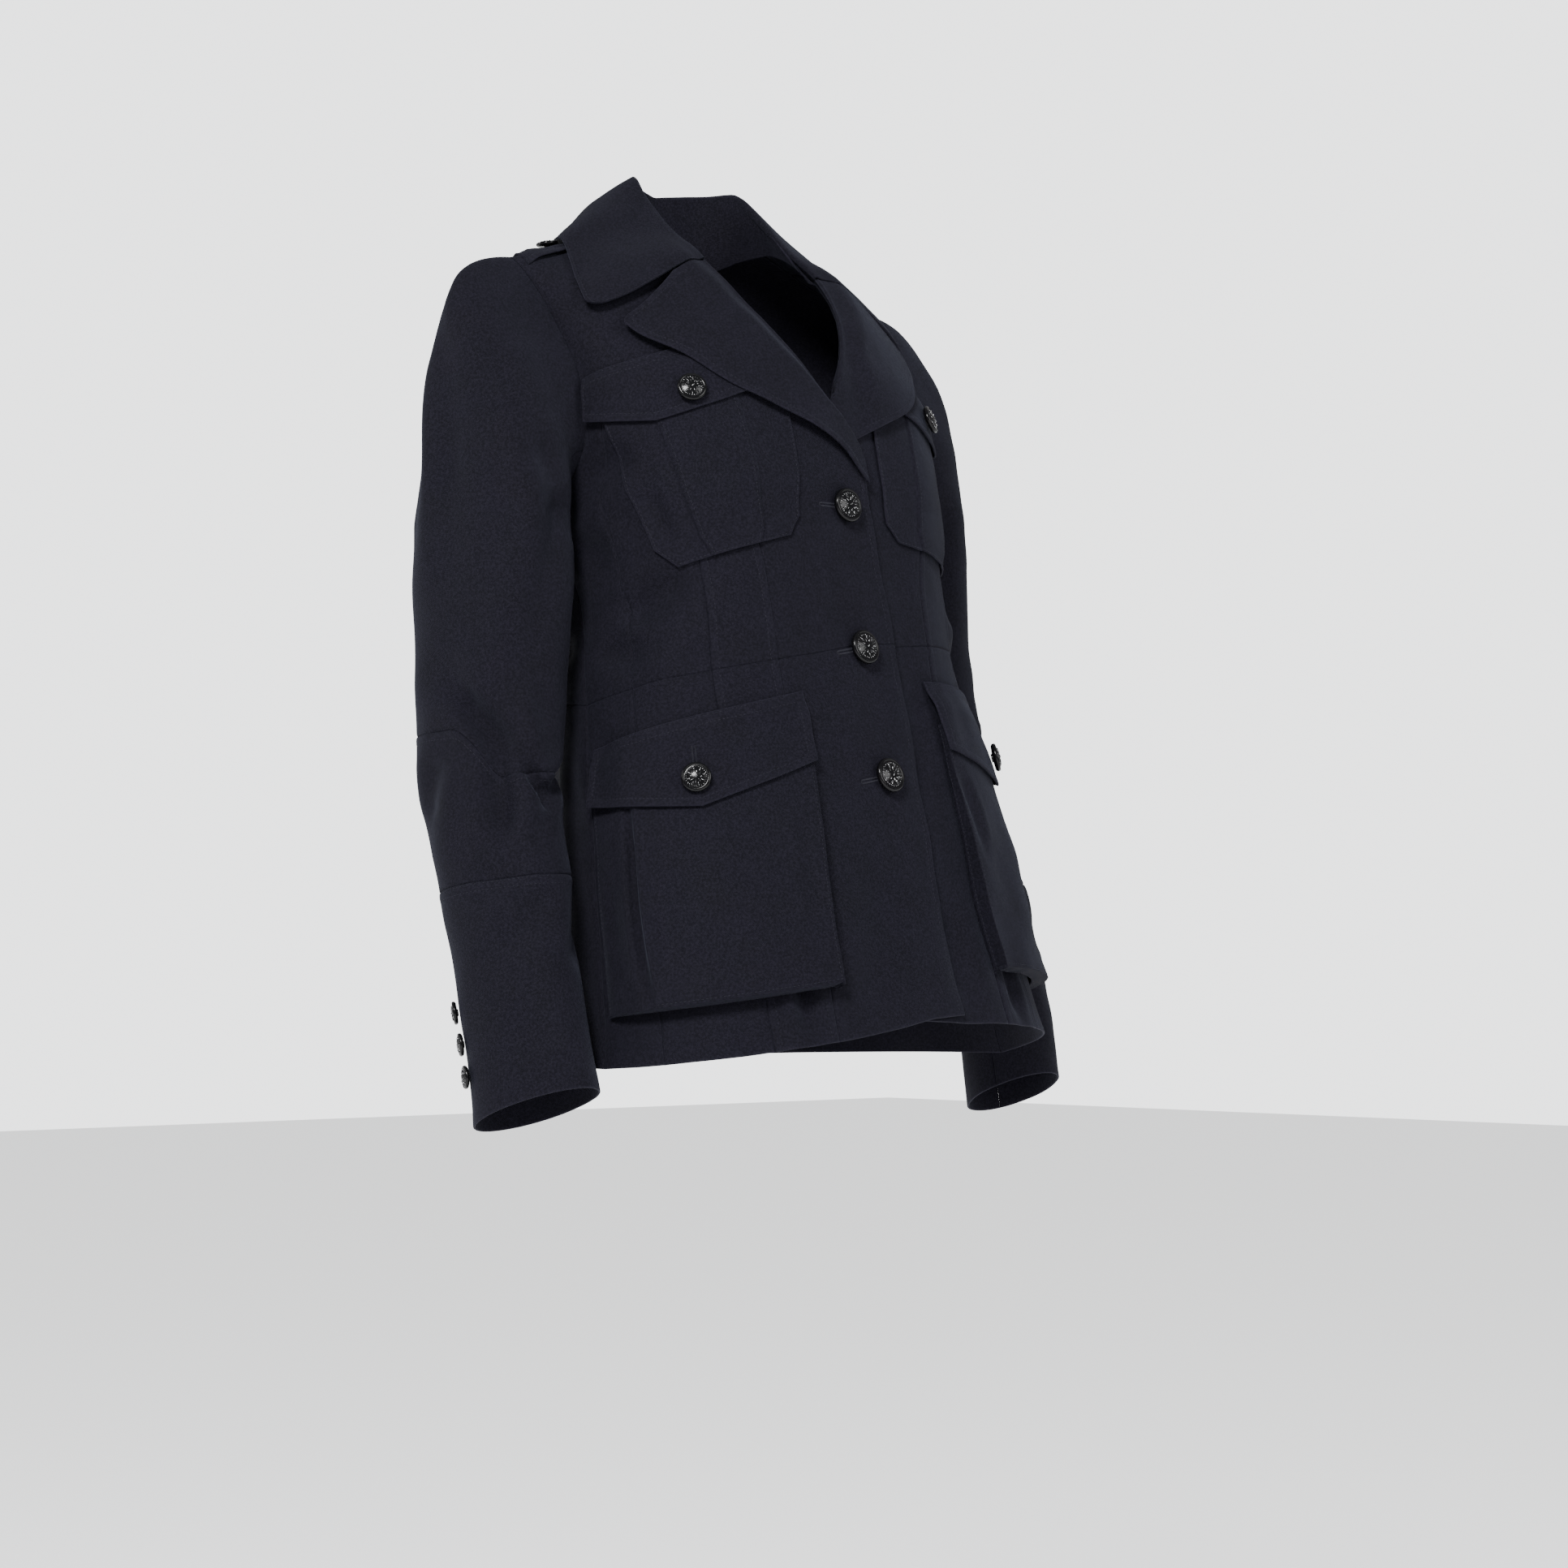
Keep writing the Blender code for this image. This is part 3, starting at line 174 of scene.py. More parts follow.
@dataclass
class BodySkin:
    """Outer skin of the jacket's body, from the hem to the shoulder seams."""

    # height, slope and bend, for the wearer's right and left
    waist_line: tuple = ((-0.300, -0.047, 0.000), (-0.302, 0.030, -0.040))
    hem_line: tuple = ((-0.570, -0.058, 0.024), (-0.570, -0.010, -0.020))
    underarm_z: float = -0.195
    overlap_slope: float = 0.4
    # z, half_width, side_y, front_y, back_y, front_square, back_square
    sections: tuple = (
        (-0.620, 0.203, -0.122, -0.263, 0.038, 2.30, 2.2), (-0.560, 0.195, -0.110, -0.238, 0.043, 2.20, 2.2),
        (-0.500, 0.188, -0.095, -0.218, 0.048, 2.20, 2.2), (-0.400, 0.175, -0.072, -0.195, 0.053, 2.30, 2.2),
        (-0.320, 0.162, -0.050, -0.173, 0.058, 2.60, 2.3),
        (-0.270, 0.155, -0.035, -0.162, 0.068, 2.80, 2.4), (-0.195, 0.160, 0.000, -0.150, 0.098, 3.00, 2.5),
    )
    # level, x, front_share, back_share
    armhole: tuple = (
        (0.00, 0.1600, 1.000, 1.000), (0.10, 0.1600, 0.995, 0.990), (0.25, 0.1605, 0.983, 0.975),
        (0.50, 0.1625, 0.975, 0.965), (0.75, 0.1690, 0.982, 0.965), (1.00, 0.1800, 0.985, 0.970),
    )
    # x, z, y
    shoulder: tuple = (
        (0.000, 0.030, 0.008), (0.060, 0.020, 0.008), (0.120, 0.000, 0.012), (0.180, -0.014, 0.016),
    )
    front_round: tuple = (1.80, 2.2)
    back_round: tuple = (2.60, 3.5)
    # level, x
    front_edge: tuple = (
        (-2.00, -0.036), (-1.40, -0.036), (-1.00, -0.037), (-0.50, -0.032), (0.00, -0.027), (0.17, -0.022),
        (0.27, -0.008), (0.39, 0.012), (0.50, 0.026), (0.60, 0.039), (0.71, 0.050), (1.00, 0.066),
    )
    # level, first, second, third
    front_seams: tuple = (
        (-2.0, 0.284, 0.452, 0.757), (-1.5, 0.272, 0.450, 0.755), (-1.0, 0.300, 0.500, 0.770),
        (-0.5, 0.312, 0.500, 0.765), (0.0, 0.330, 0.495, 0.752), (0.6, 0.330, 0.495, 0.752),
    )
    left_sink_depth: float = 0.0044
    sink_x: tuple = (0.042, 0.085)
    sink_levels: tuple = (0.33, 0.50)
    back_neck_level: float = 0.88
    neck_x: float = 0.066
    neck_power: float = 2.6
    probe: float = 0.002

    def line_z(self, side: int, face: int, share: Array, line: tuple) -> Array:
        """Height of the waist seam or the hem; at the back it runs straight across.

        Args:
            side: -1 for the wearer's right, 1 for the left.
            face: -1 for the front, 1 for the back.
            share: Share of the way from the centre to the side.
            line: Height, slope and bend for each side.

        Returns:
            Heights.
        """
        height, slope, bend = line[side > 0]
        share = np.where(share < 0, share * self.overlap_slope, share)
        if face < 0:
            return height + slope * share + bend * share**2
        ends = [sum(row) for row in line]
        middle = (ends[0] + ends[1]) / 2
        return middle + (ends[side > 0] - middle) * share

    def level_z(self, side: int, face: int, share: Array, level: Array) -> Array:
        """Height of a level line at and below the underarm."""
        waist = self.line_z(side, face, share, self.waist_line)
        hem = self.line_z(side, face, share, self.hem_line)
        low = hem + (waist - hem) * (level - HEM)
        high = waist + (self.underarm_z - waist) * (level - WAIST)
        return np.where(level < WAIST, low, high)

    def points(self, side: int, face: int, share: Array, level: Array) -> Array:
        """Points on the skin.

        Args:
            side: -1 for the wearer's right, 1 for the left.
            face: -1 for the front, 1 for the back.
            share: 0 at the centre, 1 at the side.
            level: Body level.

        Returns:
            Points, in the last axis.
        """
        share, level = spread(share, level)
        back = int(face > 0)
        z_low = self.level_z(side, face, share, np.minimum(level, UNDERARM))
        section = smooth(self.sections, z_low)
        side_y, depth, square = (section[..., k] for k in (1, 2 + back, 4 + back))
        sine, cosine = np.sin(share * QUARTER_TURN), np.abs(np.cos(share * QUARTER_TURN))
        reach = (np.abs(sine) ** square + cosine**square) ** (-1 / square)
        x_low = section[..., 0] * reach * sine
        y_low = side_y + (depth - side_y) * reach * cosine
        rise = np.clip(level, UNDERARM, SHOULDER)
        arm = smooth(self.armhole, rise)
        part = reach * sine
        x_high = part * arm[..., 0]
        ratio = np.clip(np.abs(part) * arm[..., 1 + back], 0.0, 1.0)
        y_base = side_y + (depth - side_y) * (1 - ratio**square) ** (1 / square)
        ridge = smooth(self.shoulder, np.abs(x_high))
        start, fall = (self.front_round, self.back_round)[back]
        roundness = start - fall * np.abs(x_high)
        keep = (1 - rise**roundness) ** (1 / roundness)
        y_high = ridge[..., 1] + (y_base - ridge[..., 1]) * keep
        z_high = self.underarm_z + (ridge[..., 0] - self.underarm_z) * rise
        pairs = ((x_high, x_low), (y_high, y_low), (z_high, z_low))
        x, y, z = (np.where(level > UNDERARM, high, low) for high, low in pairs)
        return np.stack([side * x, y, z], -1)

    def normals(self, side: int, face: int, share: Array, level: Array) -> Array:
        """Outward unit normals of the skin."""
        share, level = spread(share, level)
        west, east = (np.clip(share + step, -1, 1) for step in (-self.probe, self.probe))
        south, north = (np.clip(level + step, HEM, SHOULDER) for step in (-self.probe, self.probe))
        across = self.points(side, face, east, level) - self.points(side, face, west, level)
        along = self.points(side, face, share, north) - self.points(side, face, share, south)
        return unit(np.cross(across, along) * (-side * face))

    def lay(self, side: int, face: int, share: Array, level: Array, out: Array) -> Array:
        """Points on the skin, moved out along its normals."""
        out = np.asarray(out, float)[..., None]
        return self.points(side, face, share, level) + out * self.normals(side, face, share, level)

    def share_of(self, face: int, x: Array, level: Array) -> Array:
        """Share of the way to the side at which the skin is x from its centre line."""
        x, level = spread(x, level)
        low, high = np.full(x.shape, -1.0), np.full(x.shape, 1.0)
        for _ in range(HALVINGS):
            middle = (low + high) / 2
            over = self.points(1, face, middle, level)[..., 0] > x
            low, high = np.where(over, low, middle), np.where(over, middle, high)
        return (low + high) / 2

    def level_of(self, z: float) -> float:
        """Level at which the right front's centre line is at height z."""
        low, high = HEM, SHOULDER
        for _ in range(HALVINGS):
            middle = (low + high) / 2
            over = self.points(-1, -1, 0.0, middle)[2] > z
            low, high = (low, middle) if over else (middle, high)
        return (low + high) / 2

    def edge_share(self, level: Array) -> Array:
        """Share of the front edge at a level."""
        return self.share_of(-1, smooth(self.front_edge, level)[..., 0], level)

    def seam_share(self, level: Array, seam: int) -> Array:
        """Share of one of the long front seams at a level."""
        return smooth(self.front_seams, level)[..., seam]

    def left_sink(self, side: int, share: Array, level: Array) -> Array:
        """How far the left front lies in, under the right one."""
        share, level = spread(share, level)
        if side < 0:
            return np.zeros(share.shape)
        fade = 1 - blend_step(*self.sink_x, self.points(1, -1, share, level)[..., 0])
        return self.left_sink_depth * fade * (1 - blend_step(*self.sink_levels, level))

    def lay_front(self, side: Side, share: Array, level: Array, out: Array) -> Array:
        """Points over a front, sunk where the left one lies under the right one."""
        out = out - self.left_sink(side.value, share, level)
        return self.lay(side.value, -1, share, level, out)

    def back_top(self, share: Array) -> Array:
        """Level of the back's upper edge: the neck curve, then the shoulder seam."""
        t = np.clip(self.points(1, 1, share, SHOULDER)[..., 0] / self.neck_x, 0, 1)
        return self.back_neck_level + (SHOULDER - self.back_neck_level) * t**self.neck_power


@dataclass
class SleeveSkin:
    """Outer skin of the sleeves, from the armholes to the cuffs."""

    skin: BodySkin
    # z, x, y, half_fore, half_side, turn, tilt
    rings: tuple = (
        (-0.215, 0.2070, 0.001, 0.0630, 0.0465, 12.0, 0.00),
        (-0.300, 0.2115, -0.005, 0.0610, 0.0460, 15.0, 0.00),
        (-0.352, 0.2170, -0.012, 0.0570, 0.0450, 18.0, -0.05),
        (-0.413, 0.2275, -0.027, 0.0520, 0.0425, 22.0, -0.10),
        (-0.484, 0.2365, -0.054, 0.0465, 0.0390, 26.0, -0.18),
        (-0.529, 0.2395, -0.069, 0.0440, 0.0370, 28.0, -0.22),
        (-0.580, 0.2405, -0.082, 0.0430, 0.0350, 30.0, -0.28),
        (-0.632, 0.2395, -0.092, 0.0450, 0.0350, 30.0, -0.38),
    )
    top_z: float = -0.215
    cuff_z: float = -0.632
    elbow_top_z: float = -0.367
    elbow_low_z: float = -0.476
    cap_reach: tuple = (0.012, 0.094)
    cap_back_push: float = 0.22
    cap_tuck: float = 0.0016
    cap_sink: float = 0.0005
    front_seam_turn: float = 0.13
    back_seam_turn: float = 0.80
    cuff_seam_turn: float = 0.74
    slit_top_z: float = -0.542
    slit_open: float = 0.0018
    girth: float = 0.31
    # push of the cap's crown, rise of its foot, and its fullness at the underarm and the crown
    crown_push: tuple = (0.0, 0.0, -0.06)
    foot_rise: tuple = (-0.10, 0.02, 1.0)
    fullness: tuple = (0.34, 0.16)
    # the elbow panel's upper seam dips within these turns of the arm's front
    dip_at: float = 0.25
    dip_turns: tuple = (0.15, 0.27)
    dip: float = 0.034
    # turn, z, end_turn, end_z, half_width, depth
    troughs: tuple = (
        (0.52, -0.331, 0.41, -0.380, 0.016, 0.0050), (0.41, -0.380, 0.42, -0.440, 0.016, 0.0040),
        (0.35, -0.396, 0.28, -0.420, 0.010, 0.0045), (0.14, -0.392, 0.28, -0.420, 0.011, 0.0032),
        (0.95, -0.400, 0.14, -0.405, 0.012, 0.0012),
    )

    def __post_init__(self) -> None:
        """Walk the armhole's edge once for each side."""
        levels = np.linspace(0, 1, 200) ** 1.3
        self.holes = {}
        for side in (-1, 1):
            fore = self.skin.points(side, -1, 1.0, levels)
            rear = self.skin.points(side, 1, 1.0, levels[::-1])
            walks = [walk_of(line) for line in (fore, rear)]
            self.holes[side] = ((fore, rear), [walk / walk[-1] / 2 for walk in walks])

    def armhole(self, side: int, turn: Array) -> Array:
        """Armhole edge: turn 0 at the underarm, a half at the shoulder, forward edge first."""
        lines, marks = self.holes[side]
        turn = np.asarray(turn, float) % 1.0
        fore, rear = read_line(turn, marks[0], lines[0]), read_line(turn, marks[1] + 0.5, lines[1])
        return np.where((turn <= 0.5)[..., None], fore, rear)

    def trough_depth(self, turn: Array, z: Array) -> Array:
        """Depth of the largest folds at places on the arm."""
        total = np.zeros(np.shape(turn))
        for start_turn, start_z, end_turn, end_z, half_width, depth in self.troughs:
            along = (end_turn - start_turn + 0.5) % 1.0 - 0.5
            line = np.array([along * self.girth, end_z - start_z])
            across = ((turn - start_turn + 0.5) % 1.0 - 0.5) * self.girth
            down = z - start_z
            t = np.clip((across * line[0] + down * line[1]) / (line @ line), 0, 1)
            away = (across - t * line[0]) ** 2 + (down - t * line[1]) ** 2
            total = total + depth * np.exp(-away / half_width**2)
        return total

    def ring(self, side: int, turn: Array, z: Array) -> Array:
        """Points of the arm's rings at centre height z."""
        turn, z = spread(turn, z)
        row = smooth(self.rings, z)
        angle = turn * 2 * math.pi
        twist = np.radians(row[..., 4])
        press = self.trough_depth(turn, z)
        fore = (row[..., 2] - press) * np.sin(angle)
        out = -(row[..., 3] - press) * np.cos(angle)
        x = row[..., 0] - fore * np.sin(twist) + out * np.cos(twist)
        y = -fore * np.cos(twist) - out * np.sin(twist)
        return np.stack([side * x, row[..., 1] + y, z + row[..., 5] * y], -1)

    def points(self, side: int, turn: Array, stage: Array) -> Array:
        """Points on the skin.

        Args:
            side: -1 for the wearer's right, 1 for the left.
            turn: Share of the way round: 0 inside, a quarter at the front, a half outside.
            stage: 0 to 1 is the cap, 1 to 2 the arm down to the cuff.

        Returns:
            Points, in the last axis.
        """
        turn, stage = spread(turn, stage)
        start = self.armhole(side, turn)
        first = self.ring(side, turn, self.top_z)
        crown = (0.5 - 0.5 * np.cos(turn * 2 * math.pi))[..., None]
        reach = self.cap_reach[0] + (self.cap_reach[1] - self.cap_reach[0]) * crown
        rear = np.clip(-np.sin(turn * 2 * math.pi), 0, 1)[..., None]
        outward = np.array([side * 1.0, 0.0, 0.0]) + np.array([0.0, self.cap_back_push, 0.0]) * rear
        outward = outward + np.array(self.crown_push) * crown
        span = np.linalg.norm(first - start, axis=-1, keepdims=True)
        up = np.array(self.foot_rise) * (side, 1, 1)
        t = np.clip(stage, 0, 1)[..., None]
        middle = np.concatenate(self.holes[side][0]).mean(0)
        a = start - outward * self.cap_tuck - unit(start - middle) * self.cap_sink
        b = start + outward * (reach - SEAM_GAP)
        c = first + up * span * (self.fullness[0] + self.fullness[1] * crown)
        cap = (1 - t) ** 3 * a + 3 * t * (1 - t) ** 2 * b + 3 * t * t * (1 - t) * c + t**3 * first
        z = self.top_z + (self.cuff_z - self.top_z) * np.clip(stage - 1, 0, 1)
        return np.where((stage <= 1)[..., None], cap, self.ring(side, turn, z))

    def stage_at(self, z: float) -> float:
        """Stage at which the arm's ring centre is at height z."""
        return 1 + (z - self.top_z) / (self.cuff_z - self.top_z)

    def back_seam(self, stage: Array) -> Array:
        """Turn of the sleeve's back seam: it slides back from the elbow to the cuff."""
        slide = blend_step(self.stage_at(self.elbow_low_z), 2.0, stage)
        return self.back_seam_turn + (self.cuff_seam_turn - self.back_seam_turn) * slide

    def elbow_top(self, turn: Array) -> Array:
        """Stage of the elbow panel's upper seam, which dips towards the front of the arm."""
        away = np.abs((np.asarray(turn, float) - self.dip_at + 0.5) % 1.0 - 0.5)
        dip = 1 - blend_step(*self.dip_turns, away)
        return self.stage_at(self.elbow_top_z) + dip * self.dip / (self.top_z - self.cuff_z)


@dataclass(frozen=True)
class Fold:
    """Soft trough in the cloth, or a ridge where its depth is negative.

    The places are share and level on the body, and turn and stage on a sleeve.
    """

    start: tuple
    end: tuple
    width: float
    depth: float
    bow: float = 0.0

    def path(self, surface: Surface, count: int = 14) -> Array:
        """Points of the fold's line on a surface."""
        t = np.linspace(0, 1, count)
        a = self.start[0] + (self.end[0] - self.start[0]) * t
        b = self.start[1] + (self.end[1] - self.start[1]) * t
        return surface(a + self.bow * np.sin(math.pi * t), b)


@dataclass
class Drape:
    """Relief of the hung cloth: folds placed one by one, and its slight unevenness.

    It dies out at the pins, which lie on the armhole seams, so that body and sleeve stay joined.
    """

    seed: int = 7
    waves: int = 26
    lengths: tuple = (0.024, 0.085)
    height: float = 0.00050
    strength: float = 2.5
    shoulder: float = 0.34
    ridge_at: float = 1.9
    ridge_width: float = 0.8
    end_taper: float = 0.3
    end_depth: float = 0.25
    past_end: float = 0.8
    hold: float = 0.024
    pins: Array = field(default_factory=lambda: np.zeros((0, 3)))
    folds: list = field(default_factory=list)

    def __post_init__(self) -> None:
        """Draw the waves of the cloth's unevenness."""
        rng = np.random.default_rng(self.seed)
        length = rng.uniform(*self.lengths, self.waves)
        self.vectors = unit(rng.normal(size=(self.waves, 3))) * (2 * math.pi / length)[:, None]
        self.phases = rng.uniform(0, 2 * math.pi, self.waves)
        weight = length / length.sum()
        self.weights = weight * self.height * math.sqrt(2 * self.waves)

    def add(self, rows: tuple, surface: Surface) -> None:
        """Place folds on a surface, each from the row of its numbers."""
        for row in rows:
            fold = Fold(row[:2], row[2:4], *row[4:])
            self.folds.append((fold.path(surface), fold.width, fold.depth * self.strength))

    def uneven(self, points: Array) -> Array:
        """Slight unevenness at points."""
        return np.sin(points @ self.vectors.T + self.phases) @ self.weights

    def relief(self, points: Array) -> Array:
        """Height of the cloth over its skin.

        Args:
            points: Points on the skin, in the last axis.

        Returns:
            Heights along the outward normals.
        """
        flat = points.reshape(-1, 3)
        total = self.uneven(flat)
        for path, width, depth in self.folds:
            centre = path.mean(0)
            radius = np.linalg.norm(path - centre, axis=1).max() + 3.5 * width
            near = np.flatnonzero(((flat - centre) ** 2).sum(1) < radius**2)
            if not len(near):
                continue
            chosen = flat[near][:, None, :]
            a, b = path[:-1][None], path[1:][None]
            t = np.clip(((chosen - a) * (b - a)).sum(-1) / ((b - a) ** 2).sum(-1), 0, 1)
            away = np.linalg.norm(chosen - a - t[..., None] * (b - a), axis=-1)
            best = away.argmin(1)
            rows = np.arange(len(near))
            along = (best + t[rows, best]) / (len(path) - 1)
            taper = blend_step(0.0, self.end_taper, along) * (1 - blend_step(1 - self.end_taper, 1.0, along))
            taper = taper * (1 - self.end_depth) + self.end_depth
            taper *= np.where((along <= 0) | (along >= 1), self.past_end, 1.0)
            gap = away[rows, best] / width
            ridge = self.shoulder * np.exp(-((gap - self.ridge_at) ** 2) / self.ridge_width)
            total[near] -= depth * taper * (np.exp(-(gap**2)) - ridge)
        nearest = np.full(len(flat), self.hold**2)
        for pin in self.pins:
            nearest = np.minimum(nearest, ((flat - pin) ** 2).sum(1))
        total *= blend_step(0.0, self.hold, np.sqrt(nearest))
        return total.reshape(points.shape[:-1])


# Distances of grid lines from an edge, from a stitch row and from a marked share
EDGE_LINES = (0.0, 0.00014, 0.0004, 0.0008, 0.0015, 0.0026)
ROW_LINES = (-0.0010, -0.0004, 0.0004, 0.0010, 0.0022)
MARK_LINES = (-0.0022, -0.0010, -0.0004, 0.0, 0.0004, 0.0010, 0.0022)
CLOSEST_LINES = 0.00013
CLOSEST_GRID = 0.00008
EDGES = ("start", "end", "low", "high")


@dataclass(frozen=True)
class Edge:
    """How one edge of a cut piece is finished."""

    sewn: bool = False
    rows: tuple = ()
    welt: float = 0.0
    span: tuple = (0.0, 1.0)
    joined: bool = False

    def offsets(self) -> list:
        """Distances from the edge at which the grid needs lines."""
        if self.joined:
            return [0.0]
        places = list(EDGE_LINES)
        for row in self.rows:
            places += [row + away for away in ROW_LINES]
        kept = [0.0]
        for place in sorted(places):
            if place - kept[-1] > CLOSEST_LINES:
                kept.append(place)
        return kept


@dataclass(frozen=True)
class Row:
    """Row of stitches inside a piece, at a share across it plus a distance."""

    at: float
    shift: float = 0.0
    span: tuple = (0.0, 1.0)
    across: bool = False


def grid_lines(length: float, first: list, last: list, marks: tuple, step: float) -> Array:
    """Lines of a grid over one direction of a piece.

    Args:
        length: Middle length of the piece in that direction.
        first: Distances of lines from its first edge.
        last: Distances of lines from its last edge.
        marks: Shares that need close lines.
        step: Spacing of the other lines.

    Returns:
        Rows of share and distance; a line lies at the share plus the distance.
    """
    fixed = [(0.0, d) for d in first] + [(1.0, -d) for d in last]
    fixed += [(m, d) for m in marks for d in MARK_LINES]
    fixed.sort(key=lambda line: line[0] + line[1] / length)
    lines = [fixed[0]]
    for share, shift in fixed[1:]:
        gap = (share - lines[-1][0]) * length + shift - lines[-1][1]
        if gap < CLOSEST_GRID:
            continue
        count = max(1, round(gap / step))
        before = lines[-1]
        for k in range(1, count + 1):
            t = k / count
            lines.append((before[0] + (share - before[0]) * t, before[1] + (shift - before[1]) * t))
    return np.array(lines)


@dataclass
class Shell:
    """Closed wall of cloth over one patch, with its seams, relief and stitch rows.

    Its edges are given in the order start, end, low and high.
    """

    surface: Surface
    outward: Line
    drape: Drape | None
    wall: float
    edges: tuple
    marks_across: tuple = ()
    marks_along: tuple = ()
    rows: tuple = ()
    step: float = GRID_STEP
    raised: bool = False
    samples: int = 33
    probe: float = 0.0006
    round_share: float = 0.46
    groove: float = 0.0007
    groove_width: float = 0.0010
    pucker: float = 0.00016
    pucker_length: float = 0.0115
    pucker_reach: float = 0.0055
    # lighter band painted along free edges and over raised welts: edge wear plus a painted highlight where
    # light catches the raised cloth
    wear_and_highlight_reach: float = 0.0011
    welt_wear_and_highlight: float = 0.16
    thread_bed: float = 0.00022
    thread_bed_reach: float = 0.0006
    double_stop: float = 0.0015

    def __post_init__(self) -> None:
        """Measure the patch and lay the grid on it."""
        self.at = np.linspace(0, 1, self.samples)
        coarse = self.surface(*np.meshgrid(self.at, self.at))
        self.widths = arc_lengths(coarse)
        self.heights = arc_lengths(np.swapaxes(coarse, 0, 1))
        side = np.cross(np.gradient(coarse, axis=1), np.gradient(coarse, axis=0))
        self.sign = float(np.sign((side * self.outward(coarse)).sum()))
        self.layout()

    @property
    def flat(self) -> tuple:
        """Width and length of the cut, in metres."""
        return float(self.widths.max()), float(self.heights.max())

    def area(self) -> float:
        """Flat area of the cut, in square metres."""
        at = np.linspace(0, 1, 121)
        p = self.surface(*np.meshgrid(at, at))
        slant = p[1:, 1:] - p[:-1, :-1]
        first = np.cross(p[:-1, 1:] - p[:-1, :-1], slant)
        second = np.cross(slant, p[1:, :-1] - p[:-1, :-1])
        return float((np.linalg.norm(first, axis=-1) + np.linalg.norm(second, axis=-1)).sum() / 2)

    @staticmethod
    def squeeze(length: Array, reach: float) -> Array:
        """Share of the edge distances that fits across a narrow place."""
        return np.minimum(1.0, 0.96 * length / max(reach, 1e-9))

    def layout(self) -> None:
        """Place the grid's lines at true distances from the edges."""
        first, last, bottom, top = (edge.offsets() for edge in self.edges)
        self.reach_u, self.reach_v = first[-1] + last[-1], bottom[-1] + top[-1]
        columns = grid_lines(self.widths.mean(), first, last, self.marks_across, self.step)
        rows = grid_lines(self.heights.mean(), bottom, top, self.marks_along, self.step)
        v = np.repeat((rows[:, 0] + rows[:, 1] / self.heights.mean())[:, None], len(columns), axis=1)
        for _ in range(3):
            width = np.interp(v, self.at, self.widths)
            u = columns[:, 0] + columns[:, 1] * self.squeeze(width, self.reach_u) / width
            height = np.interp(u, self.at, self.heights)
            v = rows[:, :1] + rows[:, 1:] * self.squeeze(height, self.reach_v) / height
        self.u, self.v = np.clip(u, 0, 1), np.clip(v, 0, 1)

    def frame_at(self, u: Array, v: Array) -> tuple:
        """Points, outward normals and distances from the four edges.

        Args:
            u: Shares across the patch.
            v: Shares along it.

        Returns:
            Points, unit normals, and a dictionary of distances.
        """
        du, dv = self.probe / self.widths.mean(), self.probe / self.heights.mean()
        west, east = u - du, u + du
        if not (self.edges[0].joined and self.edges[1].joined):
            west, east = np.clip(west, 0, 1), np.clip(east, 0, 1)
        across = self.surface(east, v) - self.surface(west, v)
        along = self.surface(u, np.clip(v + dv, 0, 1)) - self.surface(u, np.clip(v - dv, 0, 1))
        normal = unit(np.cross(across, along)) * self.sign
        width, height = np.interp(v, self.at, self.widths), np.interp(u, self.at, self.heights)
        away = (u * width, (1 - u) * width, v * height, (1 - v) * height)
        return self.surface(u, v), normal, dict(zip(EDGES, away))

    def seam_relief(self, u: Array, v: Array, away: dict) -> tuple:
        """Relief of the edges on the outer side, and how much lighter the cloth is painted there, for edge wear
        and a painted highlight on edges and raised welts.

        Args:
            u: Shares across the patch.
            v: Shares along it.
            away: Distances from the edges.

        Returns:
            Heights, rim depths, and edge wear with painted highlight.
        """
        relief, rim, wear_and_highlight = (np.zeros(u.shape) for _ in range(3))
        radius = self.wall * self.round_share
        for name, edge in zip(EDGES, self.edges):
            if edge.joined:
                continue
            upright = name in EDGES[:2]
            d, run, along = away[name], away["low" if upright else "start"], v if upright else u
            inside = (along >= edge.span[0]) & (along <= edge.span[1])
            round_in = radius - np.sqrt(np.maximum(radius**2 - np.clip(radius - d, 0, radius) ** 2, 0))
            rim = np.maximum(rim, round_in * inside)
            if edge.sewn:
                relief -= self.groove * np.exp(-((d / self.groove_width) ** 2)) * inside
            else:
                # free edges are painted lighter: edge wear plus a painted highlight on the rounded rim
                wear_and_highlight = np.maximum(wear_and_highlight, np.exp(-((d / self.wear_and_highlight_reach) ** 2)) * inside)
            if edge.rows:
                last = max(edge.rows)
                body = (1 - blend_step(last - 0.0006, last + 0.0016, d)) * blend_step(0.0, 0.0012, d)
                relief += edge.welt * body * inside
                # raised welts are painted lighter: a painted highlight on the raised cloth, with some wear
                wear_and_highlight = np.maximum(wear_and_highlight, self.welt_wear_and_highlight * body * inside)
            for row in edge.rows:
                relief -= self.thread_bed * np.exp(-(((d - row) / self.thread_bed_reach) ** 2)) * inside
            if edge.rows or edge.sewn:
                phase = run / self.pucker_length * 2 * math.pi
                wave = np.sin(phase + 1.7 * np.sin(phase * 0.31 + 1.0)) * np.exp(-d / self.pucker_reach)
                relief += self.pucker * wave * blend_step(0.0002, 0.002, d) * inside
        return relief, rim, wear_and_highlight

    def hung(self, points: Array, normal: Array) -> Array:
        """Move of the drape at points: along the normal, or straight out where the sheet is raised."""
        if self.drape is None:
            return np.zeros(points.shape)
        way = unit(self.outward(points)) if self.raised else normal
        return way * self.drape.relief(points)[..., None]

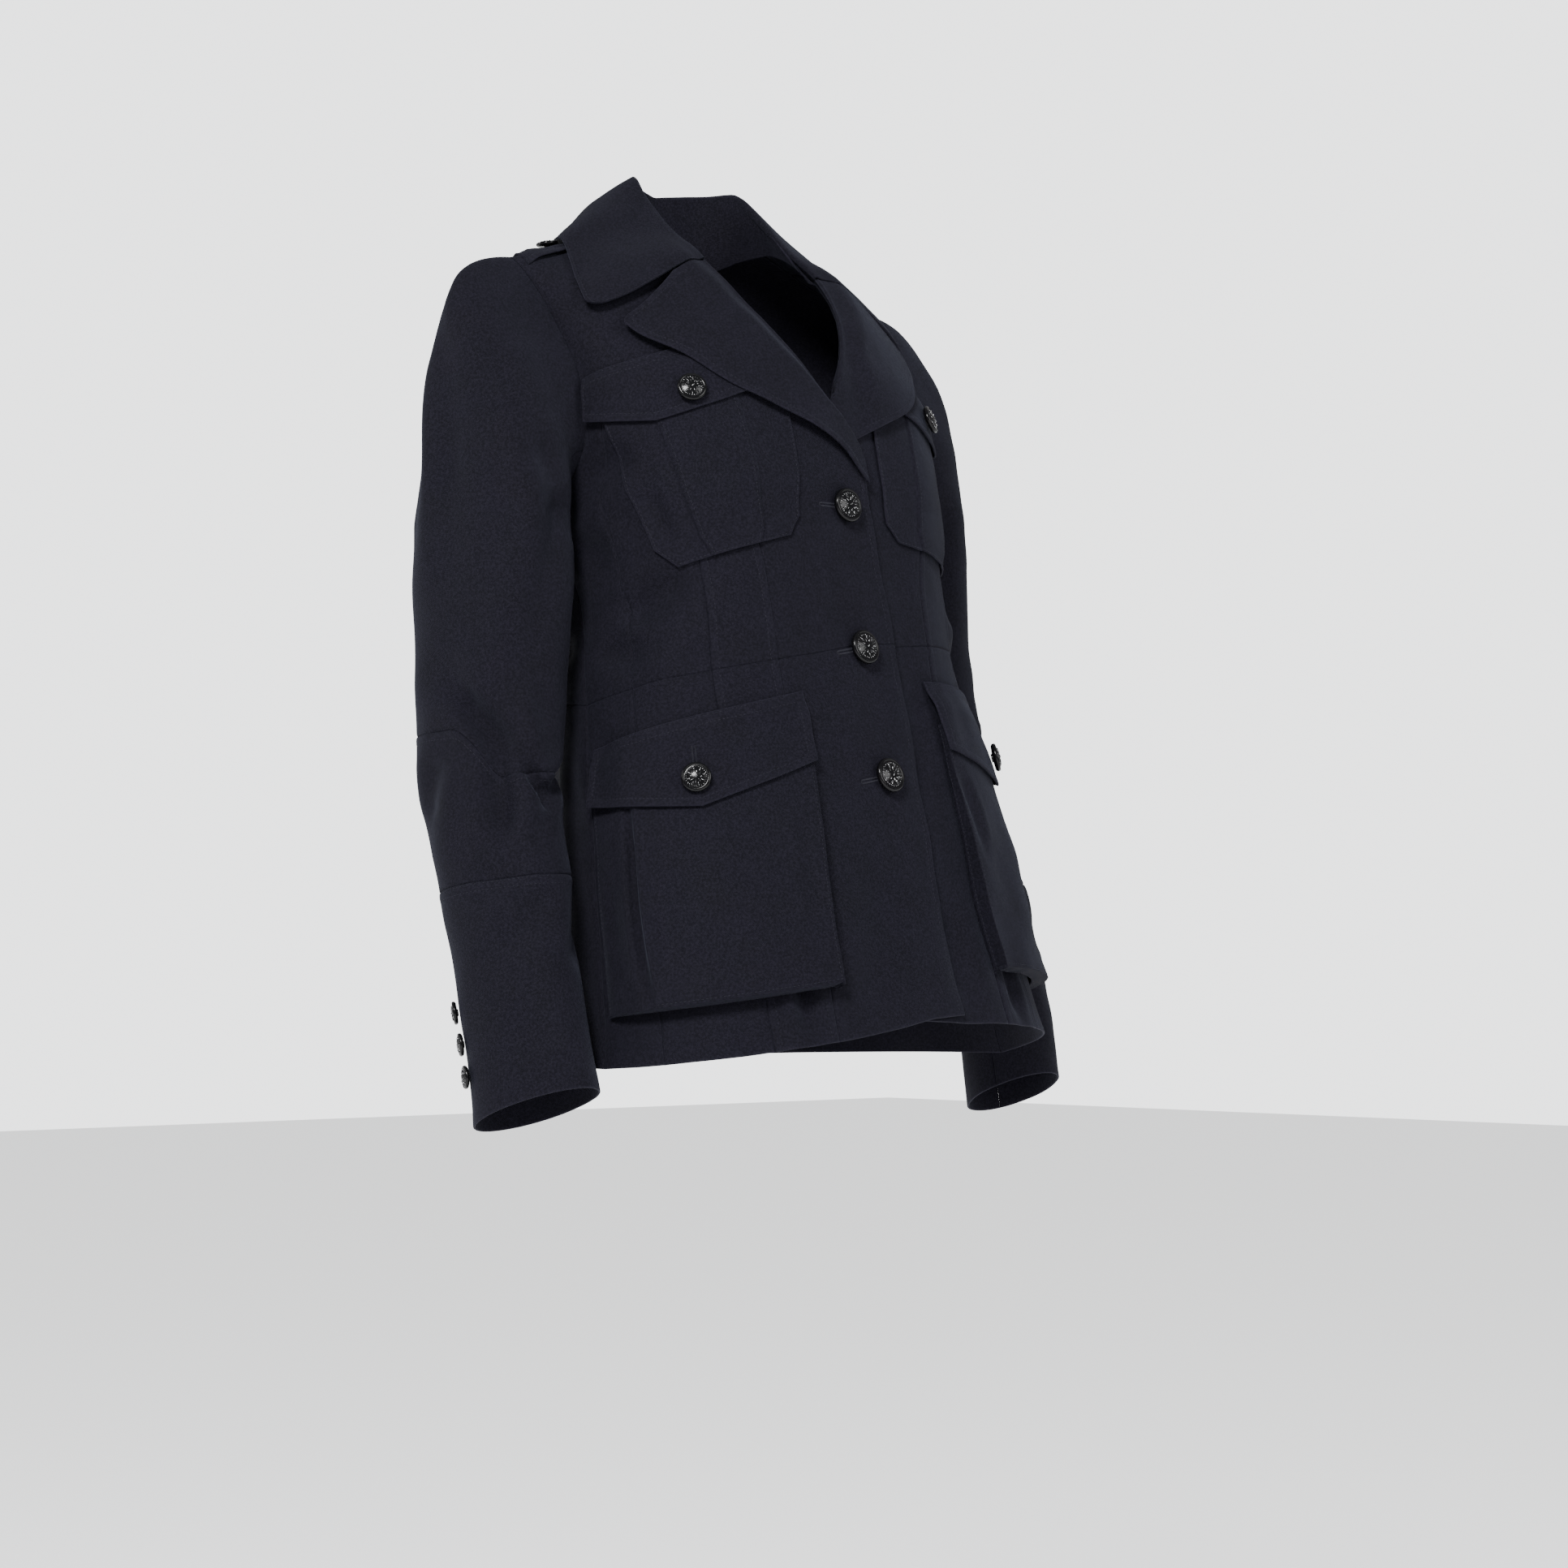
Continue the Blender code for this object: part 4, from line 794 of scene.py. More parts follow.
    def mesh_parts(self) -> tuple:
        """Vertices, faces, UV places, and edge wear with painted highlight, of the closed wall.

        Returns:
            Vertex array, array of faces, UV array by vertex, and edge wear with painted highlight by vertex.
        """
        points, normal, away = self.frame_at(self.u, self.v)
        relief, rim, wear_and_highlight = self.seam_relief(self.u, self.v, away)
        points = points + self.hung(points, normal)
        outer = points + normal * (relief - rim)[..., None]
        inner = points + normal * (rim - self.wall + 0.25 * np.minimum(relief, 0))[..., None]
        count = self.u.size
        number = np.arange(count).reshape(self.u.shape)
        quads = np.stack([number[:-1, :-1], number[:-1, 1:], number[1:, 1:], number[1:, :-1]], -1)
        way = -1 if self.sign < 0 else 1
        quads = quads.reshape(-1, 4)[:, ::way]
        faces = [quads, quads[:, ::-1] + count]
        rims = ((number[0], way), (number[-1], -way), (number[:, 0], -way), (number[:, -1], way))
        for line, turned in rims:
            rim_quads = np.stack([line[1:], line[:-1], line[:-1] + count, line[1:] + count], -1)
            faces.append(rim_quads[:, ::turned])
        places = np.stack([away["start"], away["low"]], -1).reshape(-1, 2)
        vertices = np.concatenate([outer.reshape(-1, 3), inner.reshape(-1, 3)])
        return vertices, np.concatenate(faces), np.tile(places, (2, 1)), np.tile(wear_and_highlight.reshape(-1), 2)

    def stitch_lines(self) -> list:
        """Lines of points and normals that the stitch rows follow."""
        lines = []
        for k, edge in enumerate(self.edges):
            upright, far = k < 2, k % 2
            ends = self.edges[2:] if upright else self.edges[:2]
            stops = [max(end.rows, default=0.0) for end in ends]
            if len(edge.rows) > 1:
                stops = [self.double_stop if stop else 0.0 for stop in stops]
            for row in edge.rows:
                lines.append(self.line(far, -row if far else row, not upright, edge.span, stops))
        lines += [self.line(row.at, row.shift, row.across, row.span, (0.0, 0.0)) for row in self.rows]
        return [line for line in lines if line is not None]

    def line(self, at: float, shift: float, across: bool, span: tuple, stops: tuple) -> tuple | None:
        """One stitch row.

        Args:
            at: Share of the patch that the row starts from.
            shift: Its distance from there.
            across: Whether the row runs across the patch.
            span: Shares between which it runs.
            stops: Distances from the two ends at which it stops.

        Returns:
            Points and normals, or None where nothing is left.
        """
        run = np.linspace(*span, 400)
        measure, reach = (self.heights, self.reach_v) if across else (self.widths, self.reach_u)
        length = np.interp(run, self.at, measure)
        other = np.clip(at + shift * self.squeeze(length, reach) / length, 0, 1)
        points, normal, away = self.frame_at(*((run, other) if across else (other, run)))
        first, last = EDGES[:2] if across else EDGES[2:]
        kept = (away[first] >= stops[0] * 0.98) & (away[last] >= stops[1] * 0.98)
        if kept.sum() < 4:
            return None
        points = points + self.hung(points, normal)
        return points[kept], normal[kept]


@dataclass(frozen=True)
class Thread:
    """Stitches of one row: short raised bars of thread."""

    pitch: float = 0.0031
    length: float = 0.0023
    width: float = 0.00052
    height: float = 0.00030
    probe: float = 0.0008

    def bars(self, points: Array, normals: Array) -> tuple:
        """Vertices and faces of the stitches along a line.

        Args:
            points: Points of the line.
            normals: Outward normals there.

        Returns:
            Vertex array and face list with three or four corners each.
        """
        walk = walk_of(points)
        count = int((walk[-1] - 0.0006) / self.pitch)
        if count < 1:
            return np.zeros((0, 3)), []
        middle = (np.arange(count) + 0.5) * self.pitch
        up = unit(read_line(middle, walk, normals))
        ahead, behind = (read_line(middle + step, walk, points) for step in (self.probe, -self.probe))
        along = unit(ahead - behind)
        return bar_mesh(read_line(middle, walk, points), along, up, (self.length, self.width, self.height))


# Corners of a bar of thread, as shares of its length, width and height, and its faces
BAR_CORNERS = (
    (-0.50, 0.0, -0.9), (-0.26, -0.5, -0.4), (-0.26, 0.0, 0.9), (-0.26, 0.5, -0.4),
    (0.26, -0.5, -0.4), (0.26, 0.0, 0.9), (0.26, 0.5, -0.4), (0.50, 0.0, -0.9),
)
BAR_FACES = (
    (0, 2, 1), (0, 3, 2), (1, 2, 5, 4), (2, 3, 6, 5), (4, 5, 7),
    (5, 6, 7), (0, 1, 3), (1, 4, 6, 3), (4, 7, 6),
)


def bar_mesh(centre: Array, along: Array, up: Array, size: tuple) -> tuple:
    """Small rounded bars with tucked-in ends.

    Args:
        centre: Middle of each bar, on the cloth.
        along: Direction of each bar.
        up: Outward normal at each bar.
        size: Length and width of a bar, and height of its crown.

    Returns:
        Vertex array and face list.
    """
    side = unit(np.cross(up, along))
    length, width, height = size
    place = lambda a, b, c: centre + along * (a * length) + side * (b * width) + up * (c * height)
    vertices = np.stack([place(*corner) for corner in BAR_CORNERS], 1).reshape(-1, 3)
    return vertices, [tuple(8 * k + c for c in face) for k in range(len(centre)) for face in BAR_FACES]


def merged(meshes: list) -> tuple:
    """Vertices and faces of several meshes as one."""
    faces, shift = [], 0
    for vertices, corners in meshes:
        faces += [tuple(k + shift for k in face) for face in corners]
        shift += len(vertices)
    return np.concatenate([vertices for vertices, _ in meshes]), faces


def cloth_piece(name: str, mesh_of: tuple, material: Material, uv: Array = None, wear_and_highlight: Array = None) -> Object:
    """Smooth piece of cloth or thread on the body, with its place in its mesh.

    Args:
        name: Name of the object.
        mesh_of: Vertex array, and faces as rows or tuples of vertex numbers.
        material: Its material.
        uv: UV place of each vertex, in metres.
        wear_and_highlight: Edge wear and painted highlight of each vertex.

    Returns:
        The new object.
    """
    vertices, faces = mesh_of
    mesh = bpy.data.meshes.new(name)
    mesh.from_pydata(vertices.tolist(), [], [tuple(int(k) for k in face) for face in faces])
    mesh.polygons.foreach_set("use_smooth", np.ones(len(mesh.polygons), bool))
    if uv is not None:
        corner = np.empty(len(mesh.loops), np.int32)
        mesh.loops.foreach_get("vertex_index", corner)
        mesh.uv_layers.new(name="cut").data.foreach_set("uv", uv[corner].reshape(-1))
    if wear_and_highlight is not None:
        # stores the edge wear and painted highlight that lighten the cloth's colour
        mesh.attributes.new("wear_and_highlight", "FLOAT", "POINT").data.foreach_set("value", wear_and_highlight.astype(np.float32))
    mesh.update()
    mesh.materials.append(material)
    made = bpy.data.objects.new(name, mesh)
    bpy.context.scene.collection.objects.link(made)
    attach(made, BODY_NAME)
    return made


@dataclass
class SheetMaker:
    """Turns shells into finished sheets that stand for the frame's nodes."""

    cloth: Material
    thread: Material
    stitch: Thread = Thread()
    cuts: set = field(default_factory=set)

    def make(self, node: str, shells: list, hold: Held, rests_on: list) -> None:
        """Build one sheet from its shells, with its topstitching.

        Args:
            node: CAD node that the sheet replaces.
            shells: Closed walls that make it up.
            hold: How it is held. Not used.
            rests_on: Nodes that it hangs from or lies on.
        """
        # also gathers the edge wear with painted highlight that lightens the cloth's colour
        vertices, faces, places, wear_and_highlight = zip(*(shell.mesh_parts() for shell in shells))
        shifts = np.cumsum([0] + [len(part) for part in vertices])
        faces = np.concatenate([part + shift for part, shift in zip(faces, shifts)])
        mesh = (np.concatenate(vertices), faces)
        sheet = cloth_piece(f"{node}_cloth", mesh, self.cloth, np.concatenate(places), np.concatenate(wear_and_highlight))
        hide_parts(node)
        stitches = [self.stitch.bars(*line) for shell in shells for line in shell.stitch_lines()]
        stitches = [bars for bars in stitches if bars[1]]
        stitches = [cloth_piece(f"{node}_stitches", merged(stitches), self.thread)] if stitches else []
        width = sum(shell.flat[0] for shell in shells)
        length = max(shell.flat[1] for shell in shells)
        [f"{name}_cloth" if name in self.cuts else name for name in rests_on]
        min(sum(shell.area() for shell in shells), width * length)
        self.cuts.add(node)
        log.info("%s: cut %.0f x %.0f mm, %d faces", node, width * 1000, length * 1000, len(faces))


ARMHOLE_PINS = 36
SEAM_LAP = 0.0002
BODICE_GAP = -SEAM_LAP / 0.11
SKIRT_GAP = -SEAM_LAP / 0.26
SHARE_GAP = -SEAM_LAP / 0.22
YOKE_LEVEL = 0.43
BREAK_LEVEL = 0.17
VENT_TOP_LEVEL = -1.7

PLAIN_SEAM = Edge(sewn=True)
STITCHED_SEAM = Edge(sewn=True, rows=(0.0062,), welt=0.00030)
PLAIN_EDGE = Edge()
STITCHED_EDGE = Edge(rows=(0.0060,), welt=0.00028)
POCKET_EDGE = Edge(rows=(0.0022,), welt=0.0002)
JOINED = Edge(joined=True)


def from_body_axis(points: Array) -> Array:
    """Directions away from the upright axis of the body."""
    return points * np.array([1.0, 1.0, 0.0]) + np.array([0.0, 0.05, 0.0])


@dataclass
class Bodice:
    """Front and back of the bodice on one side."""

    side: Side
    skin: BodySkin
    drape: Drape

    def on_skin(self, face: Face, share: Array, level: Array) -> Array:
        """Points on the skin, with the left front sunk under the right one."""
        if face is Face.BACK:
            return self.skin.points(self.side.value, 1, share, level)
        return self.skin.lay_front(self.side, share, level, 0.0)

    def between(self, face: Face, start: Line, end: Line, low: float, high: float) -> Surface:
        """Patch between two share lines and two levels.

        Args:
            face: Front or back.
            start: Share of the first edge at a level.
            end: Share of the last edge at a level.
            low: Lower level.
            high: Upper level.

        Returns:
            Surface of the patch.
        """

        def place(u: Array, v: Array) -> Array:
            """Point at shares across and up the patch."""
            level = low + (high - low) * v
            first, last = start(level), end(level)
            return self.on_skin(face, first + (last - first) * u, level)

        return place

    def shell(self, surface: Surface, *edges: Edge, marks_along: tuple = ()) -> Shell:
        """Closed wall over a patch of the body."""
        return Shell(surface, from_body_axis, self.drape, WALL, edges, marks_along=marks_along)

    def seam(self, number: int, gap: float) -> Line:
        """Share of a long front seam, beside its gap."""
        return lambda level: self.skin.seam_share(level, number) + gap

    def front(self) -> list:
        """Centre front with its yoke."""
        low, high = WAIST + BODICE_GAP, SHOULDER
        at = lambda level: (level - low) / (high - low)
        seam = self.seam(0, -SHARE_GAP)
        strip = self.shell(
            self.between(Face.FRONT, self.skin.edge_share, seam, low, high),
            replace(STITCHED_EDGE, span=(0.0, at(BREAK_LEVEL))),
            replace(PLAIN_SEAM, span=(0.0, at(YOKE_LEVEL))), PLAIN_SEAM, PLAIN_SEAM,
            marks_along=(at(YOKE_LEVEL),),
        )
        yoke = self.between(Face.FRONT, seam, held(1.0), YOKE_LEVEL, high)
        return [strip, self.shell(yoke, JOINED, PLAIN_SEAM, PLAIN_SEAM, PLAIN_SEAM)]

    def build(self, maker: SheetMaker) -> None:
        """Make the bodice's sheets."""
        tag = self.side.tag
        maker.make(f"front_{tag}", self.front(), Held.HUNG, [f"strap_{tag}"])
        low, high = WAIST + BODICE_GAP, YOKE_LEVEL - BODICE_GAP * 2
        spans = (
            ("mid_front", self.seam(0, SHARE_GAP), self.seam(1, -SHARE_GAP), STITCHED_SEAM),
            ("side_front", self.seam(1, SHARE_GAP), self.seam(2, -SHARE_GAP), PLAIN_SEAM),
            ("side", self.seam(2, SHARE_GAP), held(1.0), PLAIN_SEAM),
        )
        for label, start, end, seam in spans:
            surface = self.between(Face.FRONT, start, end, low, high)
            shell = self.shell(surface, seam, seam, PLAIN_SEAM, PLAIN_SEAM)
            maker.make(f"{label}_{tag}", [shell], Held.HUNG, [f"front_{tag}"])
        shell = self.shell(self.back, STITCHED_SEAM, PLAIN_SEAM, PLAIN_SEAM, PLAIN_SEAM)
        maker.make(f"back_{tag}", [shell], Held.HUNG, [f"front_{tag}"])

    def back(self, u: Array, v: Array) -> Array:
        """Points of the back half, up to the neck curve and the shoulder seam."""
        low = WAIST + BODICE_GAP
        return self.on_skin(Face.BACK, u, low + (self.skin.back_top(u) - low) * v)


@dataclass
class Skirt(Bodice):
    """Skirt of one side, from the front edge to the centre back."""

    open_front: float = 0.0004
    open_back: float = 0.0003

    def vent(self, opened: float) -> Line:
        """Share of the side edge: the seam, then the vent's edge."""
        return lambda level: 1 - opened * blend_step(VENT_TOP_LEVEL, HEM, level)

    def build(self, maker: SheetMaker) -> None:
        """Make the skirt's sheets."""
        tag, front, back = self.side.tag, Face.FRONT, Face.BACK
        edge, vents = self.skin.edge_share, (self.vent(self.open_front), self.vent(self.open_back))
        at, past = (lambda k: self.seam(k, -SHARE_GAP)), (lambda k: self.seam(k, SHARE_GAP))
        spans = (
            ("front_skirt", "front", front, edge, at(0), STITCHED_EDGE, PLAIN_SEAM),
            ("mid_skirt", "mid_front", front, past(0), at(1), STITCHED_SEAM, STITCHED_SEAM),
            ("side_front_skirt", "side_front", front, past(1), at(2), PLAIN_SEAM, PLAIN_SEAM),
            ("side_skirt", "side", front, past(2), vents[0], PLAIN_SEAM, PLAIN_SEAM),
            ("back_skirt", "back", back, held(0.0), vents[1], STITCHED_SEAM, PLAIN_SEAM),
        )
        for label, above, face, start, end, first, last in spans:
            surface = self.between(face, start, end, HEM, WAIST - SKIRT_GAP)
            shell = self.shell(surface, first, last, PLAIN_EDGE, PLAIN_SEAM)
            maker.make(f"{label}_{tag}", [shell], Held.HUNG, [f"{above}_{tag}"])


@dataclass
class Sleeve:
    """Sleeve of one side: upper sleeve, elbow panel and lower sleeve."""

    side: Side
    skin: SleeveSkin
    drape: Drape
    turn_gap: float = -SEAM_LAP / 0.33
    stage_lap: float = SEAM_LAP / 0.417
    step: float = 0.0028
    elbow_seam: Edge = Edge(sewn=True, rows=(0.0062,), welt=0.00028)
    double_seam: Edge = Edge(sewn=True, rows=(0.0016, 0.0068), welt=0.00028)

    def from_arm(self, points: Array) -> Array:
        """Directions away from the arm's middle line."""
        row = smooth(self.skin.rings, points[..., 2])
        return points - np.stack([self.side.value * row[..., 0], row[..., 1], points[..., 2]], -1)

    def patch(self, start: Line, end: Line, low: Line, high: Line) -> Surface:
        """Patch of the sleeve between four lines.

        Args:
            start: Turn of the first edge at a stage.
            end: Turn of the last edge at a stage.
            low: Stage of the upper edge at a turn.
            high: Stage of the lower edge at a turn.

        Returns:
            Surface of the patch.
        """

        def place(u: Array, v: Array) -> Array:
            """Point at shares round and down the patch."""
            u, v = spread(u, v)
            stage = 1.0 + v
            for _ in range(3):
                first, last = start(stage), end(stage)
                turn = first + (last - first) * u
                stage = low(turn) + (high(turn) - low(turn)) * v
            return self.skin.points(self.side.value, turn, stage)

        return place

    def build(self, maker: SheetMaker) -> None:
        """Make the sleeve's sheets."""
        skin, tag, gap = self.skin, self.side.tag, self.turn_gap
        seam = skin.front_seam_turn
        slit = lambda stage: skin.slit_open * blend_step(skin.stage_at(skin.slit_top_z), 2.0, stage)
        top = (held(seam + gap), lambda stage: skin.back_seam(stage) - gap)
        under = (lambda stage: skin.back_seam(stage) + gap + slit(stage), held(1 + seam - gap))
        lapped = lambda line, by: lambda turn: line(turn) + by
        elbow = held(skin.stage_at(skin.elbow_low_z))
        upper = (held(0.0), lapped(skin.elbow_top, self.stage_lap))
        band = (lapped(skin.elbow_top, -self.stage_lap), lapped(elbow, self.stage_lap))
        lower = (lapped(elbow, -self.stage_lap), held(2.0))
        pieces = (
            ("sleeve_top", top, upper, PLAIN_SEAM, PLAIN_SEAM, PLAIN_SEAM, "front"),
            ("sleeve_under", under, upper, PLAIN_SEAM, PLAIN_SEAM, PLAIN_SEAM, "side"),
            ("forearm_top", top, lower, PLAIN_SEAM, self.double_seam, PLAIN_EDGE, "elbow"),
            ("forearm_under", under, lower, PLAIN_SEAM, self.double_seam, PLAIN_EDGE, "elbow"),
            ("elbow", (held(0.0), held(1.0)), band, JOINED, self.elbow_seam, PLAIN_SEAM, "sleeve_top"),
        )
        for label, turns, stages, sides, low, high, on in pieces:
            surface, edges = self.patch(*turns, *stages), (sides, sides, low, high)
            shell = Shell(surface, self.from_arm, self.drape, WALL, edges, step=self.step)
            maker.make(f"{label}_{tag}", [shell], Held.HUNG, [f"{on}_{tag}"])


@dataclass
class Net:
    """Smooth surface through a grid of points."""

    grid: Array

    @staticmethod
    def weights(t: Array) -> list:
        """Weights of the four points round a place between the second and the third."""
        return [
            (-t + 2 * t**2 - t**3) / 2, (2 - 5 * t**2 + 3 * t**3) / 2, (t + 4 * t**2 - 3 * t**3) / 2,
            (-(t**2) + t**3) / 2,
        ]

    def __call__(self, u: Array, v: Array) -> Array:
        """Points at shares across (u) and along (v) the grid."""
        u, v = spread(u, v)
        rows, columns = self.grid.shape[:2]
        padded = np.pad(self.grid, ((1, 1), (1, 1), (0, 0)), mode="reflect", reflect_type="odd")
        x = np.clip(u, 0, 1) * (columns - 1)
        y = np.clip(v, 0, 1) * (rows - 1)
        j = np.clip(x.astype(int), 0, columns - 2)
        i = np.clip(y.astype(int), 0, rows - 2)
        total = 0.0
        for a, wy in enumerate(self.weights(y - i)):
            for b, wx in enumerate(self.weights(x - j)):
                total = total + (wy * wx)[..., None] * padded[i + a, j + b]
        return total


def round_corner(u: Array, v: Array, reach_u: float, reach_v: float) -> tuple:
    """Round the far corner of a sheet's square.

    Args:
        u: First place, 1 at the corner.
        v: Second place, 1 at the corner.
        reach_u: Corner's radius along the first place.
        reach_v: Corner's radius along the second place.

    Returns:
        Both places, with the corner's square pressed into a quarter circle.
    """
    a = np.clip((u - 1 + reach_u) / reach_u, 0, 1)
    b = np.clip((v - 1 + reach_v) / reach_v, 0, 1)
    return u - reach_u * a * (1 - np.sqrt(1 - b**2 / 2)), v - reach_v * b * (1 - np.sqrt(1 - a**2 / 2))

ROLL_STEP = 0.0036


@dataclass
class SkinClearance:
    """Keeps pieces that lie on the body clear of its upper skin."""

    skin: BodySkin

    def __post_init__(self) -> None:
        """Sample the upper skin."""
        share, level = np.meshgrid(np.linspace(0, 1, 60), np.linspace(0.2, 1, 70), indexing="ij")
        points, normals = [], []
        for side in (-1, 1):
            for face in (-1, 1):
                at = level if face < 0 else np.minimum(level, self.skin.back_top(share))
                points.append(self.skin.points(side, face, share, at).reshape(-1, 3))
                normals.append(self.skin.normals(side, face, share, at).reshape(-1, 3))
        self.points, self.normals = np.concatenate(points), np.concatenate(normals)
        self.tree = KDTree(len(self.points))
        for k, point in enumerate(self.points):
            self.tree.insert(point, k)
        self.tree.balance()

    def held(self, points: Array, clearance: float) -> Array:
        """Points pushed out along the body's normals until they are clear of it."""
        flat = points.reshape(-1, 3).copy()
        for _ in range(2):
            for k in range(len(flat)):
                near = self.tree.find(flat[k])[1]
                height = float(np.dot(flat[k] - self.points[near], self.normals[near]))
                if height < clearance:
                    flat[k] += (clearance - height) * self.normals[near]
        return flat.reshape(points.shape)


@dataclass
class Lapel:
    """Turned-back top of one front, rolled over its edge."""

    side: Side
    skin: BodySkin
    drape: Drape
    # along, level, x
    edge: tuple = (
        (0.00, 0.07, -0.0250), (0.15, 0.175, 0.0020), (0.30, 0.24, 0.0300), (0.50, 0.37, 0.0870),
        (0.70, 0.50, 0.1130), (0.88, 0.600, 0.1340), (1.00, 0.658, 0.1400),
    )
    gorge_level: float = 0.84
    notch: tuple = (0.803, 0.090, 0.36)
    gap: float = 0.0008
    lift: float = 0.0070
    rise_across: float = 0.2
    rise_along: float = 0.3
    covered_x: float = 0.027
    free_x: float = 0.050
    roll: float = 0.10
    tail: float = 0.045
    tail_length: float = 0.005
    corner: tuple = (0.085, 0.040)

    def underside(self, along: Array, across: Array, x: Array) -> Array:
        """Height of the lapel's underside over the front."""
        lift = blend_step(0.0, self.rise_across, across)
        lift = lift * (0.25 + 0.75 * blend_step(0.0, self.rise_along, along))
        if self.side is Side.LEFT:
            lift = lift * blend_step(self.covered_x, self.free_x, x)
        return self.gap + self.lift * lift

    def points(self, along: Array, across: Array) -> Array:
        """Points of the lapel's upper side: across 0 at the roll line, 1 at the edge."""
        skin = self.skin
        _, last_level, last_x = self.edge[-1]
        notch_level, notch_x, notch_at = self.notch
        roll_level = BREAK_LEVEL + (self.gorge_level - BREAK_LEVEL) * along
        roll_x = smooth(skin.front_edge, roll_level)[..., 0]
        edge = smooth(self.edge, along)
        level = roll_level + (edge[..., 0] - roll_level) * across
        x = roll_x + (edge[..., 1] - roll_x) * across
        last = along**3
        end_x = float(smooth(skin.front_edge, self.gorge_level)[0])
        top_level = across_line(self.gorge_level, notch_level, last_level, notch_at, across)
        top_x = across_line(end_x, notch_x, last_x, notch_at, across)
        level = level + last * (top_level - (self.gorge_level + (last_level - self.gorge_level) * across))
        x = x + last * (top_x - (end_x + (last_x - end_x) * across))
        out = TRIM_WALL + self.underside(along, across, x)
        return skin.lay_front(self.side, skin.share_of(-1, x, level), level, out)

    def surface(self, u: Array, v: Array) -> Array:
        """Lapel with its roll, which turns round the front's edge."""
        u, v = round_corner(*spread(u, v), *self.corner)
        across = np.clip((u - self.roll) / (1 - self.roll), 0, 1)
        flat = self.points(v, across)
        level = BREAK_LEVEL + (self.gorge_level - BREAK_LEVEL) * v
        normal = self.skin.normals(self.side.value, -1, self.skin.edge_share(level), level)
        out = flat - self.points(v, across + 0.02)
        out = unit(out - (out * normal).sum(-1, keepdims=True) * normal)
        radius = (self.gap + TRIM_WALL + WALL + LAY_GAP) / 2
        turned = np.clip((self.roll - u) / (self.roll - self.tail), 0, 1)
        angle = (turned * math.pi * 0.96)[..., None]
        arc = flat - normal * radius + radius * (np.cos(angle) * normal + np.sin(angle) * out)
        arc = arc - out * (self.tail_length * np.clip(1 - u / self.tail, 0, 1))[..., None]
        return np.where((u < self.roll)[..., None], arc, flat)

    def build(self, maker: SheetMaker) -> None:
        """Make the lapel's sheet."""
        top = replace(STITCHED_EDGE, span=(0.34, 1.0))
        edges, marks = (PLAIN_EDGE, STITCHED_EDGE, PLAIN_EDGE, top), (self.tail, self.roll)
        shell = Shell(self.surface, from_body_axis, self.drape, TRIM_WALL, edges, marks, step=ROLL_STEP)
        tag = self.side.tag
        maker.make(f"lapel_{tag}", [shell], Held.FOLDED, [f"front_{tag}"])


